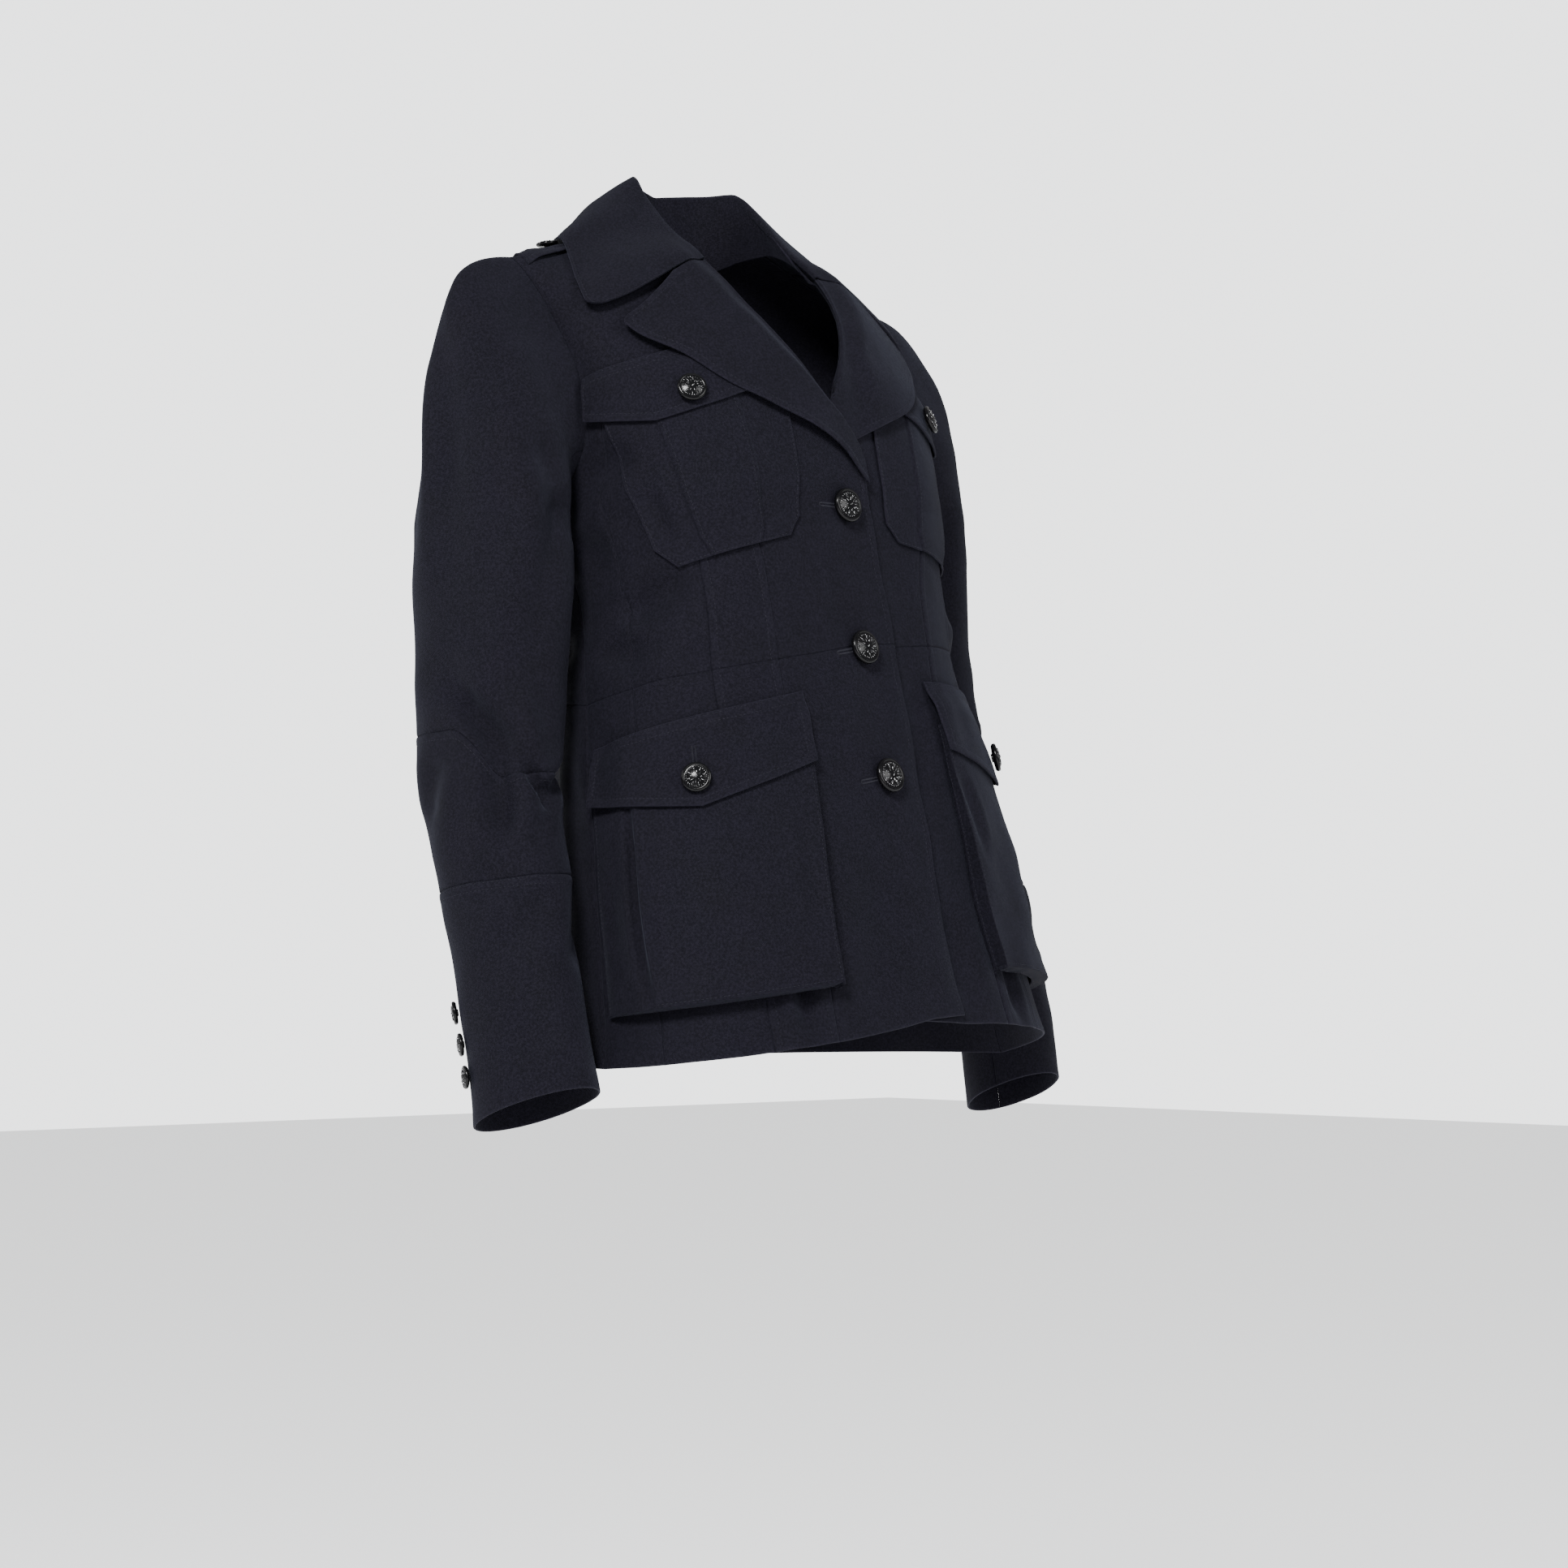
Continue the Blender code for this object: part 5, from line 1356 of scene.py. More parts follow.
@dataclass
class Collar:
    """Stand and fall of the collar, each right round the neck."""

    skin: BodySkin
    drape: Drape
    # along, roll_x, roll_y, roll_z, leaf_x, leaf_y, leaf_z
    rows: tuple = (
        (0.00, 0.0000, 0.0600, 0.0600, 0.0000, 0.0960, 0.0100),
        (0.20, 0.0300, 0.0500, 0.0630, 0.0560, 0.0830, 0.0090),
        (0.40, 0.0500, 0.0270, 0.0640, 0.1080, 0.0520, 0.0070),
        (0.55, 0.0570, 0.0040, 0.0440, 0.1370, 0.0100, 0.0040),
        (0.75, 0.0575, -0.0280, 0.0120, 0.1440, -0.0150, -0.0220),
        (1.00, 0.0570, -0.0520, -0.0140, 0.1390, -0.0330, -0.0520),
    )
    bulge: float = 0.006
    leaf: tuple = (0.712, 0.153)
    gorge_level: float = 0.84
    notch: tuple = (0.803, 0.090, 0.36)
    shoulder_at: float = 0.55
    # inset, forward, drop
    stand_tuck: tuple = (0.0024, 0.0018, 0.0030)
    over_gorge: float = 0.006
    lapel_gap: float = 0.0008
    lapel_lift: float = 0.0070
    corner: tuple = (0.060, 0.110)

    def neckline(self, side: int, along: Array) -> Array:
        """Neck edge of the body: back centre (0), shoulder, gorge (1)."""
        skin, turn = self.skin, self.shoulder_at
        share = skin.share_of(1, skin.neck_x * np.clip(along / turn, 0, 1), SHOULDER)
        back = skin.points(side, 1, share, skin.back_top(share))
        level = 1 - (1 - self.gorge_level) * np.clip((along - turn) / (1 - turn), 0, 1)
        front = skin.points(side, -1, skin.edge_share(level), level)
        return np.where((along <= turn)[..., None], back, front)

    def end(self, side: int, rise: Array, out: Array) -> Array:
        """Front edge of the collar: along the gorge to the notch, then its own edge to the corner."""
        notch_level, notch_x, notch_at = self.notch
        start_level, notch_level = self.gorge_level + self.over_gorge, notch_level + self.over_gorge
        level = across_line(start_level, notch_level, self.leaf[0], notch_at, rise)
        start = float(smooth(self.skin.front_edge, self.gorge_level)[0])
        x = across_line(start, notch_x, self.leaf[1], notch_at, rise)
        return self.skin.lay(side, -1, self.skin.share_of(-1, x, level), level, out)

    def ruled(self, side: int, at: Array, rise: Array) -> Array:
        """Fall between its roll and its leaf edge, before it meets the gorge."""
        row = smooth(self.rows, at)
        roll, leaf = row[..., 0:3] * MIRROR[side], row[..., 3:6] * MIRROR[side]
        outward = unit(np.stack([side * at, 1.0 - 1.2 * at, 0.4 * np.ones_like(at)], -1))
        bulge = self.bulge * np.sin(np.pi * rise) + (WALL + LAY_GAP) * (1 - rise) ** 2
        return roll + (leaf - roll) * rise[..., None] + outward * bulge[..., None]

    def fall_points(self, side: int, along: Array, rise: Array) -> Array:
        """Outer skin of the fall: rise 0 at the roll, 1 at the leaf edge."""
        along, rise = round_corner(*np.broadcast_arrays(along, rise), *self.corner)
        lift = self.lapel_lift * blend_step(0.0, 0.2, rise)
        end = self.end(side, rise, self.lapel_gap + lift + WALL)
        near = blend_step(0.62, 1.0, along)[..., None]
        return self.ruled(side, along, rise) + near * (end - self.ruled(side, np.ones_like(along), rise))

    def stand_points(self, side: int, along: Array, rise: Array) -> Array:
        """Outer skin of the stand: rise 0 at the neck edge, 1 at the roll."""
        inset, forward, drop = self.stand_tuck
        tuck = np.array([-side * inset, 0, -drop]) - np.array([0, forward, 0]) * (1 - along)[..., None]
        base = self.neckline(side, along) + tuck
        roll = smooth(self.rows, along)[..., 0:3] * MIRROR[side]
        return base + (roll - base) * rise[..., None]

    def both_sides(self, points: Callable, rise: Array, count: int = 27) -> Array:
        """Grid from the wearer's right gorge round the back to the left one."""
        half = 1 - (1 - np.linspace(0, 1, count)) ** 1.5
        grids = []
        for side, along in ((-1, half[::-1]), (1, half[1:])):
            s, t = np.meshgrid(rise, along, indexing="ij")
            grids.append(points(side, t, s))
        return np.concatenate(grids, axis=1)

    def build(self, maker: SheetMaker, clear: SkinClearance) -> None:
        """Make the stand's and the fall's sheets.

        Args:
            maker: Sheet maker.
            clear: Keeps points off the body's skin.
        """
        rise = 1 - (1 - np.linspace(0, 1, 30)) ** 1.4
        grid = clear.held(self.both_sides(self.fall_points, rise), 2 * WALL + LAY_GAP)
        away = lambda points: points - np.array([0, 0.02, -0.2])
        normal = unit(np.cross(np.gradient(grid, axis=1), np.gradient(grid, axis=0)))
        normal *= np.sign((normal * away(grid)).sum())
        over = unit(grid[0] - grid[1])
        radius = WALL + LAY_GAP * 0.75
        turns = np.linspace(math.pi * 0.9, 0, 6)[:-1][:, None, None]
        arc = grid[0] - normal[0] * radius + radius * (np.cos(turns) * normal[0] + np.sin(turns) * over)
        end = replace(STITCHED_EDGE, span=(0.45, 1.0))
        edges = (end, end, PLAIN_EDGE, STITCHED_EDGE)
        shell = Shell(Net(np.concatenate([arc, grid])), away, self.drape, WALL, edges, step=ROLL_STEP)
        maker.make("collar_fall", [shell], Held.FOLDED, ["collar_stand"])
        net = Net(self.both_sides(self.stand_points, np.linspace(0, 1, 7)))
        edges = (PLAIN_EDGE, PLAIN_EDGE, PLAIN_SEAM, PLAIN_EDGE)
        shell = Shell(net, lambda points: points - np.array([0, 0, 0.02]), None, WALL, edges)
        maker.make("collar_stand", [shell], Held.FOLDED, ["back_right", "back_left"])
@dataclass
class FlapPocket:
    """What both kinds of pocket share: a side, the front under it and a pointed flap."""

    side: Side
    skin: BodySkin
    drape: Drape

    def flap_level(self, u: Array, v: Array) -> Array:
        """Level on the flap, between its slanted top and its point."""
        top = self.flap_top[0] + (self.flap_top[1] - self.flap_top[0]) * u
        return top + (across_line(*self.flap_bottom, self.point_at, u) - top) * v

    def flap_shell(self, rows: tuple) -> Shell:
        """Wall of the flap, with its rows of stitches along the point."""
        edges = (STITCHED_EDGE, STITCHED_EDGE, Edge(rows=rows, welt=0.0003), STITCHED_EDGE)
        return Shell(self.flap, from_body_axis, self.drape, TRIM_WALL, edges, (self.point_at,))


@dataclass
class ChestPocket(FlapPocket):
    """Patch pocket with a box pleat and cut-off lower corners, and its pointed flap."""

    top: tuple = (0.36, 0.50)
    bottom: tuple = (-0.441, -0.226)
    outer: tuple = (0.1580, 0.1400)
    inner: tuple = (0.0430, 0.0455)
    chamfer: tuple = (0.85, 0.10)
    pleat: tuple = (0.30, 0.71)
    pleat_rise: float = 0.0012
    pleat_extra: float = 0.0007
    flap_ends: tuple = (0.1610, 0.0520)
    flap_top: tuple = (0.455, 0.60)
    flap_bottom: tuple = (0.285, 0.262, 0.385)
    point_at: float = 0.47
    full_at: float = 0.33
    clear: float = 0.0009

    pleat_edge: float = 0.012
    flap_slant: float = 0.001

    def between(self, outer_x: Array, inner_x: Array, level: Array, at: Array) -> Array:
        """Share at a place between two distances from the centre line."""
        outer, inner = (self.skin.share_of(-1, x, level) for x in (outer_x, inner_x))
        return outer + (inner - outer) * at

    def bag(self, u: Array, v: Array) -> Array:
        """Pocket's outer side: u from its outer to its inner edge, v down."""
        u, v = spread(u, v)
        cut = self.chamfer[1] * np.clip((v - self.chamfer[0]) / (1 - self.chamfer[0]), 0, 1)
        p = cut + u * (1 - 2 * cut)
        outer_x = self.outer[0] + (self.outer[1] - self.outer[0]) * v
        inner_x = self.inner[0] + (self.inner[1] - self.inner[0]) * v
        top = self.top[0] + (self.top[1] - self.top[0]) * p
        level = top + (self.bottom[0] + (self.bottom[1] - self.bottom[0]) * p - top) * v
        share = self.between(outer_x, inner_x, level, p)
        opened = blend_step(0.2, 0.8, v) * (1 - blend_step(0.85, 1.0, v))
        opened = 1 + self.pleat_extra / self.pleat_rise * opened
        first, last = self.pleat
        rise = blend_step(first - self.pleat_edge, first, u) * (1 - blend_step(last, last + self.pleat_edge, u))
        out = PATCH_GAP + TRIM_WALL + self.pleat_rise * rise * opened
        return self.skin.lay_front(self.side, share, level, out)

    def flap(self, u: Array, v: Array) -> Array:
        """Flap's outer side: u from its outer to its inner end, v down."""
        u, v = spread(u, v)
        level = self.flap_level(u, v)
        outer_x, inner_x = self.flap_ends[0] - self.flap_slant * v, self.flap_ends[1]
        share = self.between(outer_x, inner_x, level, u)
        stands = TRIM_WALL + self.pleat_rise + self.pleat_extra + self.clear
        out = PATCH_GAP + stands * blend_step(0.0, self.full_at, v) + TRIM_WALL
        return self.skin.lay_front(self.side, share, level, out)

    def build(self, maker: SheetMaker) -> None:
        """Make the pocket's and the flap's sheets."""
        tag, (first, last) = self.side.tag, self.pleat
        shell = Shell(
            self.bag, from_body_axis, self.drape, TRIM_WALL, (POCKET_EDGE,) * 4,
            marks_across=(first - self.pleat_edge / 2, last + self.pleat_edge / 2),
            marks_along=(self.chamfer[0],), rows=(Row(first, 0.0022), Row(last, -0.0022)),
        )
        maker.make(f"chest_pocket_{tag}", [shell], Held.LAID, [f"front_{tag}"])
        shell = self.flap_shell((0.0018, 0.0072))
        maker.make(f"chest_flap_{tag}", [shell], Held.LAID, [f"chest_pocket_{tag}"])


@dataclass
class BellowsPocket(FlapPocket):
    """Pocket on the skirt whose face stands off it on gussets, and its pointed flap."""

    # place, top_share, bottom_share, raised
    columns: tuple = (
        (0.000, 0.975, 0.955, 0.00), (0.125, 0.880, 0.850, 0.62), (0.250, 0.785, 0.745, 1.00),
        (0.352, 0.700, 0.668, 1.00), (0.462, 0.610, 0.585, 1.00), (0.590, 0.500, 0.490, 1.00),
        (0.745, 0.375, 0.375, 1.00), (0.938, 0.250, 0.266, 1.00), (1.000, 0.253, 0.270, 0.00),
    )
    # level, raised
    rise: tuple = ((-1.215, 0.22), (-1.34, 0.50), (-1.50, 0.80), (-1.68, 0.97), (-1.79, 1.00), (-1.868, 1.00))
    foot_level: float = -1.865
    foot_at: float = 0.925
    depth: float = 0.012
    gap: float = 0.0007
    flap_ends: tuple = (0.960, 0.246)
    flap_top: tuple = (-1.134, -1.096)
    flap_bottom: tuple = (-1.301, -1.362, -1.288)
    point_at: float = 0.55
    full_at: float = 0.4
    clear: float = 0.0022

    def __post_init__(self) -> None:
        """Place the bag's own folds on its outer side."""
        self.bag_drape = Drape(seed=self.drape.seed, pins=self.drape.pins)
        self.bag_drape.folds = list(self.drape.folds)
        self.bag_drape.add(BAG_FOLDS[self.side.value], self.on_bag)

    def on_bag(self, share: Array, level: Array) -> Array:
        """Points over the bag, by share and level."""
        out = self.gap + WALL + self.depth * self.raised_at(level)
        return self.skin.lay_front(self.side, share, level, out)

    def raised_at(self, level: Array) -> Array:
        """Share of the bag's depth at a level."""
        return smooth(self.rise, level)[..., 0]

    def bag(self, u: Array, v: Array) -> Array:
        """Bag's outer side: u from its outer to its inner foot, v down."""
        u, v = spread(u, v)
        table = np.array(self.columns)
        first, lowest = self.rise[0][0], self.rise[-1][0]
        face = np.clip(v / self.foot_at, 0, 1)
        drop = np.clip((v - self.foot_at) / (1 - self.foot_at), 0, 1)
        level = first + (lowest - first) * face + (self.foot_level - lowest) * drop
        t = (level - first) / (self.foot_level - first)
        top, bottom, raised = (np.interp(u, table[:, 0], table[:, k]) for k in (1, 2, 3))
        out = self.gap + WALL + self.depth * raised * self.raised_at(level) * (1 - drop)
        return self.skin.lay_front(self.side, top + (bottom - top) * t, level, out)

    def flap(self, u: Array, v: Array) -> Array:
        """Flap's outer side: u from its outer to its inner end, v down."""
        u, v = spread(u, v)
        level = self.flap_level(u, v)
        share = self.flap_ends[0] + (self.flap_ends[1] - self.flap_ends[0]) * u
        over = (self.depth + WALL) * self.raised_at(level) + self.clear
        out = PATCH_GAP + over * blend_step(0.0, self.full_at, v) + TRIM_WALL
        return self.skin.lay_front(self.side, share, level, out)

    def build(self, maker: SheetMaker) -> None:
        """Make the bag's and the flap's sheets."""
        tag = self.side.tag
        inner_fold, outer_fold = self.columns[-2][0], self.columns[2][0]
        inner_row = Row(inner_fold, -0.0024, (0.0, self.foot_at))
        foot_row = Row(self.foot_at, -0.0024, (outer_fold, inner_fold), across=True)
        shell = Shell(
            self.bag,
            from_body_axis,
            self.bag_drape,
            WALL,
            (POCKET_EDGE, POCKET_EDGE, PLAIN_EDGE, POCKET_EDGE),
            marks_across=(outer_fold, inner_fold),
            marks_along=(self.foot_at,),
            rows=(inner_row, foot_row),
            raised=True,
        )
        maker.make(f"pocket_{tag}", [shell], Held.LAID, [f"mid_skirt_{tag}", f"side_front_skirt_{tag}"])
        shell = self.flap_shell((0.0018, 0.0080))
        maker.make(f"pocket_flap_{tag}", [shell], Held.LAID, [f"pocket_{tag}"])


@dataclass
class Strap:
    """Shoulder strap along the shoulder seam."""

    side: Side
    skin: BodySkin
    # along, x, half_width
    rows: tuple = (
        (0.0, 0.1725, 0.0215), (0.15, 0.1660, 0.0210), (0.3, 0.1580, 0.0205), (0.6, 0.1420, 0.0195),
        (0.85, 0.1250, 0.0180), (1.0, 0.1140, 0.0060),
    )
    shift: float = 0.006
    height: float = TRIM_WALL + 0.0018
    end_drop: float = 0.0024
    end_reach: float = 0.25
    lowest_level: float = 0.6
    step: float = 0.0028

    def on_shoulder(self, x: float, away: float, out: float) -> Array:
        """Point on the shoulder.

        Args:
            x: Distance from the centre line.
            away: Walk from the shoulder seam, towards the back.
            out: Height over the skin.

        Returns:
            The point.
        """
        levels = np.linspace(SHOULDER, self.lowest_level, 60)
        face = -1 if away < 0 else 1
        line = self.skin.points(1, face, self.skin.share_of(face, x, levels), levels)
        level = np.interp(abs(away), walk_of(line), levels)
        return self.skin.lay(self.side.value, face, self.skin.share_of(face, x, level), level, out)

    def build(self, maker: SheetMaker, clear: SkinClearance) -> None:
        """Make the strap's sheet.

        Args:
            maker: Sheet maker.
            clear: Keeps points off the body's skin.
        """
        tag, along, across = self.side.tag, np.linspace(0, 1, 21), np.linspace(-1, 1, 9)
        table = np.array(self.rows)
        x, half = (np.interp(along, table[:, 0], table[:, k]) for k in (1, 2))
        row = lambda a, b: [self.on_shoulder(a, self.shift + b * c, self.height) for c in across]
        grid = clear.held(np.array([row(a, b) for a, b in zip(x, half)]), self.height)
        grid[..., 2] -= (self.end_drop * (1 - blend_step(0.0, self.end_reach, along)))[:, None]
        up = lambda points: np.broadcast_to(np.array([0.0, 0.0, 1.0]), points.shape)
        edges = (STITCHED_EDGE, STITCHED_EDGE, PLAIN_SEAM, STITCHED_EDGE)
        shell = Shell(Net(grid), up, None, TRIM_WALL, edges, step=self.step)
        maker.make(f"strap_{tag}", [shell], Held.LAID, [f"front_{tag}"])


def deselect() -> None:
    """Leave nothing selected before an operator adds a piece."""
    if bpy.context.mode != "OBJECT":
        bpy.ops.object.mode_set(mode="OBJECT")
    bpy.ops.object.select_all(action="DESELECT")


@dataclass
class ButtonMould:
    """Shank button with a raised rim and a relief of leaves inside a rope ring, one unit in radius."""

    gloss: Material
    relief: Material
    sides: int = 40
    height: float = 0.62
    # radius and height shares of the lathed form
    profile: tuple = (
        (0.30, 0.14), (0.84, 0.20), (0.96, 0.32), (1.00, 0.48), (0.99, 0.64), (0.94, 0.75), (0.87, 0.78),
        (0.82, 0.72), (0.76, 0.72), (0.60, 0.82), (0.42, 0.91), (0.24, 0.97), (0.08, 0.99),
    )
    leaves: int = 8
    beads: int = 26
    # distance from the middle, and half length
    outer_leaf: tuple = (0.50, 0.17)
    inner_leaf: tuple = (0.33, 0.12)
    middle_leaf: tuple = (0.03, 0.15)
    strand: tuple = (0.70, 0.066)
    taper: float = 0.45
    lean: float = math.radians(42)

    def lathe(self) -> Object:
        """Body of the button, drawn up ring by ring from its shank."""
        deselect()
        shank = self.profile[0][1] * self.height
        place = (0, 0, shank / 2)
        bpy.ops.mesh.primitive_cylinder_add(vertices=self.sides, radius=0.30, depth=shank, location=place)
        body = bpy.context.object
        bpy.ops.object.transform_apply(location=True, rotation=True, scale=True)
        mesh = body.data
        for vertex in mesh.vertices:
            vertex.select = vertex.co.z > shank / 2
        for edge in mesh.edges:
            edge.select = all(mesh.vertices[k].select for k in edge.vertices)
        for polygon in mesh.polygons:
            polygon.select = all(mesh.vertices[k].select for k in polygon.vertices)
        bpy.ops.object.mode_set(mode="EDIT")
        for (radius, rise), (wider, higher) in zip(self.profile, self.profile[1:]):
            lift = (higher - rise) * self.height
            bpy.ops.mesh.extrude_region_move(TRANSFORM_OT_translate={"value": (0, 0, lift)})
            share = wider / radius
            bpy.ops.transform.resize(value=(share, share, 1), center_override=(0, 0, 0))
        bpy.ops.mesh.select_all(action="SELECT")
        bpy.ops.mesh.normals_make_consistent(inside=False)
        bpy.ops.object.mode_set(mode="OBJECT")
        body.data.materials.append(self.gloss)
        return body

    def ball(self, segments: int, size: tuple) -> Object:
        """Flattened ball, from which a leaf or a strand is shaped."""
        deselect()
        bpy.ops.mesh.primitive_uv_sphere_add(segments=segments, ring_count=segments - 2, radius=1.0)
        made = bpy.context.object
        bpy.ops.object.mode_set(mode="EDIT")
        bpy.ops.transform.resize(value=size)
        bpy.ops.object.mode_set(mode="OBJECT")
        made.data.materials.append(self.relief)
        return made

    def leaf(self, turn: float, reach: float, size: float) -> Object:
        """Raised leaf, lying along a spoke.

        Args:
            turn: Turn of the spoke.
            reach: Distance from the button's middle.
            size: Half its length.

        Returns:
            The leaf.
        """
        made = self.ball(8, (size, size * 0.34, size * 0.36))
        for vertex in made.data.vertices:
            vertex.co.y *= 1 - self.taper * (abs(vertex.co.x) / size) ** 2
        place = Matrix.Translation((reach, 0, self.dish_height(reach)))
        made.data.transform(Matrix.Rotation(turn, 4, "Z") @ place)
        return made

    def bead(self, turn: float, reach: float, size: float) -> Object:
        """Slanted strand of the rope ring, placed as a leaf is."""
        made = self.ball(7, (size, size * 0.55, size * 0.6))
        lean = Matrix.Rotation(self.lean, 4, "Z")
        place = Matrix.Translation((reach, 0, self.dish_height(reach) + size * 0.1))
        made.data.transform(Matrix.Rotation(turn, 4, "Z") @ place @ lean)
        return made

    def dish_height(self, reach: float) -> float:
        """Height of the button's dish at a distance from its middle."""
        rows = sorted(self.profile[8:])
        return float(np.interp(reach, [r for r, _ in rows], [h for _, h in rows])) * self.height

    def build(self) -> Object:
        """Model the button once.

        Returns:
            The mould, whose copies become the buttons.
        """
        parts = [self.lathe()]
        for k in range(self.leaves):
            turn = 2 * math.pi * k / self.leaves
            parts.append(self.leaf(turn, *self.outer_leaf))
            parts.append(self.leaf(turn + math.pi / self.leaves, *self.inner_leaf))
        for k in range(self.beads):
            parts.append(self.bead(2 * math.pi * k / self.beads, *self.strand))
        parts.append(self.leaf(0.0, *self.middle_leaf))
        deselect()
        for part in parts:
            part.select_set(True)
        bpy.context.view_layer.objects.active = parts[0]
        bpy.ops.object.join()
        mould = bpy.context.object
        mould.name = "button_mould"
        bpy.ops.object.shade_smooth_by_angle(angle=math.radians(40))
        return mould

    def cast(self, mould: Object, node: str, seat: Array, axis: Array, radius: float, turn: float) -> None:
        """Copy the mould to a button's seat.

        Args:
            mould: The modelled button.
            node: CAD node that the button replaces.
            seat: Point of the cloth under the button.
            axis: Direction that the button faces.
            radius: Radius of the button.
            turn: How far it is turned about its axis, in radians.
        """
        mesh = mould.data.copy()
        upright = Vector(axis).to_track_quat("Z", "Y").to_matrix().to_4x4()
        place = Matrix.Translation(Vector(seat)) @ upright @ Matrix.Rotation(turn, 4, "Z")
        mesh.transform(place @ Matrix.Scale(radius, 4))
        made = bpy.data.objects.new(f"{node}_dressed", mesh)
        mesh.name = made.name
        bpy.context.scene.collection.objects.link(made)
        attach(made, BODY_NAME)
        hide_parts(node)
        log.info("%s: radius %.1f mm", node, radius * 1000)


@dataclass
class Fastenings:
    """Buttons and worked buttonholes."""

    skin: BodySkin
    arm: SleeveSkin
    drape: Drape
    arm_drapes: dict
    pockets: dict
    straps: dict
    gloss: Material
    relief: Material
    thread: Material
    large: float = 0.0128
    middle: float = 0.0108
    small: float = 0.0082
    front_z: tuple = (-0.198, -0.303, -0.397)
    # level, x
    chest_place: tuple = (0.365, 0.115)
    # level, share
    pocket_place: tuple = (-1.287, 0.578)
    strap_x: float = 0.138
    # z, turn
    cuff: tuple = ((-0.557, 0.700), (-0.579, 0.687), (-0.601, 0.675))
    cuff_gap: float = 0.0006
    # distances from the button's middle, and shares down the flap
    front_slit: tuple = (0.006, 0.0235)
    flap_slit: tuple = (0.34, 0.62)
    stitch_pitch: float = 0.00058
    end_gap: float = 0.0003
    # distance of the stitches' middles from the slit, and their length, width and height
    beside: float = 0.00115
    beside_size: tuple = (0.0019, 0.00062, 0.00042)
    fan: float = 0.0011
    fan_size: tuple = (0.0018, 0.00062, 0.00042)
    fan_turns: tuple = (-1.2, 1.2, 7)

    def hung(self, points: Array, normal: Array, drape: Drape) -> Array:
        """Points moved with the cloth's relief."""
        return points + normal * drape.relief(np.asarray(points)[None])[0]

    def on_front(self, side: int, share: Array, level: Array, out: float) -> tuple:
        """Seat over the front at a share and a level, and the direction that a button faces there."""
        normal = self.skin.normals(side, -1, share, level)
        return self.hung(self.skin.lay(side, -1, share, level, out), normal, self.drape), normal

    def build(self) -> None:
        """Make every button and buttonhole."""
        maker = ButtonMould(self.gloss, self.relief)
        mould = maker.build()
        for number, z in enumerate(self.front_z, start=1):
            level = self.skin.level_of(z)
            seat, normal = self.on_front(-1, self.skin.share_of(-1, 0.0, level), level, LAY_GAP)
            maker.cast(mould, f"front_button_{number}", seat, normal, self.large, 0.4 * number)
            self.hole(f"front_buttonhole_{number}", level)
        for side in Side:
            self.build_side(maker, mould, side)
        bpy.data.objects.remove(mould)

    def build_side(self, maker: ButtonMould, mould: Object, side: Side) -> None:
        """Make the buttons of one side.

        Args:
            maker: Button maker.
            mould: The modelled button.
            side: Side of the garment.
        """
        s, tag = side.value, side.tag
        chest, bellows = self.pockets[side]
        level, x = self.chest_place
        out = PATCH_GAP + 2 * TRIM_WALL + chest.pleat_rise + chest.pleat_extra + chest.clear + LAY_GAP
        seat, normal = self.on_front(s, self.skin.share_of(-1, x, level), level, out)
        maker.cast(mould, f"chest_button_{tag}", seat, normal, self.middle, 0.7)
        level, share = self.pocket_place
        out = (bellows.depth + WALL) * float(bellows.raised_at(level))
        out += PATCH_GAP + bellows.clear + TRIM_WALL + 2 * LAY_GAP
        seat, normal = self.on_front(s, share, level, out)
        maker.cast(mould, f"pocket_button_{tag}", seat, normal, self.middle, 1.1)
        self.flap_hole(f"pocket_buttonhole_{tag}", side, bellows)
        strap = self.straps[side]
        seat = strap.on_shoulder(self.strap_x, strap.shift, strap.height + 2 * LAY_GAP)
        maker.cast(mould, f"strap_button_{tag}", seat, np.array([0.12 * s, 0.05, 1.0]), self.small, 0.2)
        for number, (z, turn) in enumerate(self.cuff, start=1):
            stage = self.arm.stage_at(z)
            across = self.arm.points(s, turn + 0.01, stage) - self.arm.points(s, turn - 0.01, stage)
            along = self.arm.points(s, turn, stage + 0.01) - self.arm.points(s, turn, stage - 0.01)
            axis = unit(np.cross(along, across) * s)
            seat = self.arm.points(s, turn, stage) + axis * self.cuff_gap
            seat = self.hung(seat, axis, self.arm_drapes[side])
            maker.cast(mould, f"cuff_button_{number}_{tag}", seat, axis, self.small, 0.5 * number)

    def hole(self, name: str, level: float) -> None:
        """Level buttonhole in the right front, beside the button at a level."""
        away = np.linspace(*self.front_slit, 40)
        level = np.full(away.shape, level)
        share = self.skin.share_of(-1, away, level)
        self.work(name, self.skin.points(-1, -1, share, level), self.skin.normals(-1, -1, share, level))

    def flap_hole(self, name: str, side: Side, bellows: BellowsPocket) -> None:
        """Upright buttonhole above a lower flap's button."""
        level, share = self.pocket_place
        first, last = bellows.flap_ends
        down = np.linspace(*self.flap_slit, 40)
        points = bellows.flap(np.full(40, (share - first) / (last - first)), down)
        self.work(name, points, self.skin.normals(side.value, -1, np.full(40, share), np.full(40, level)))

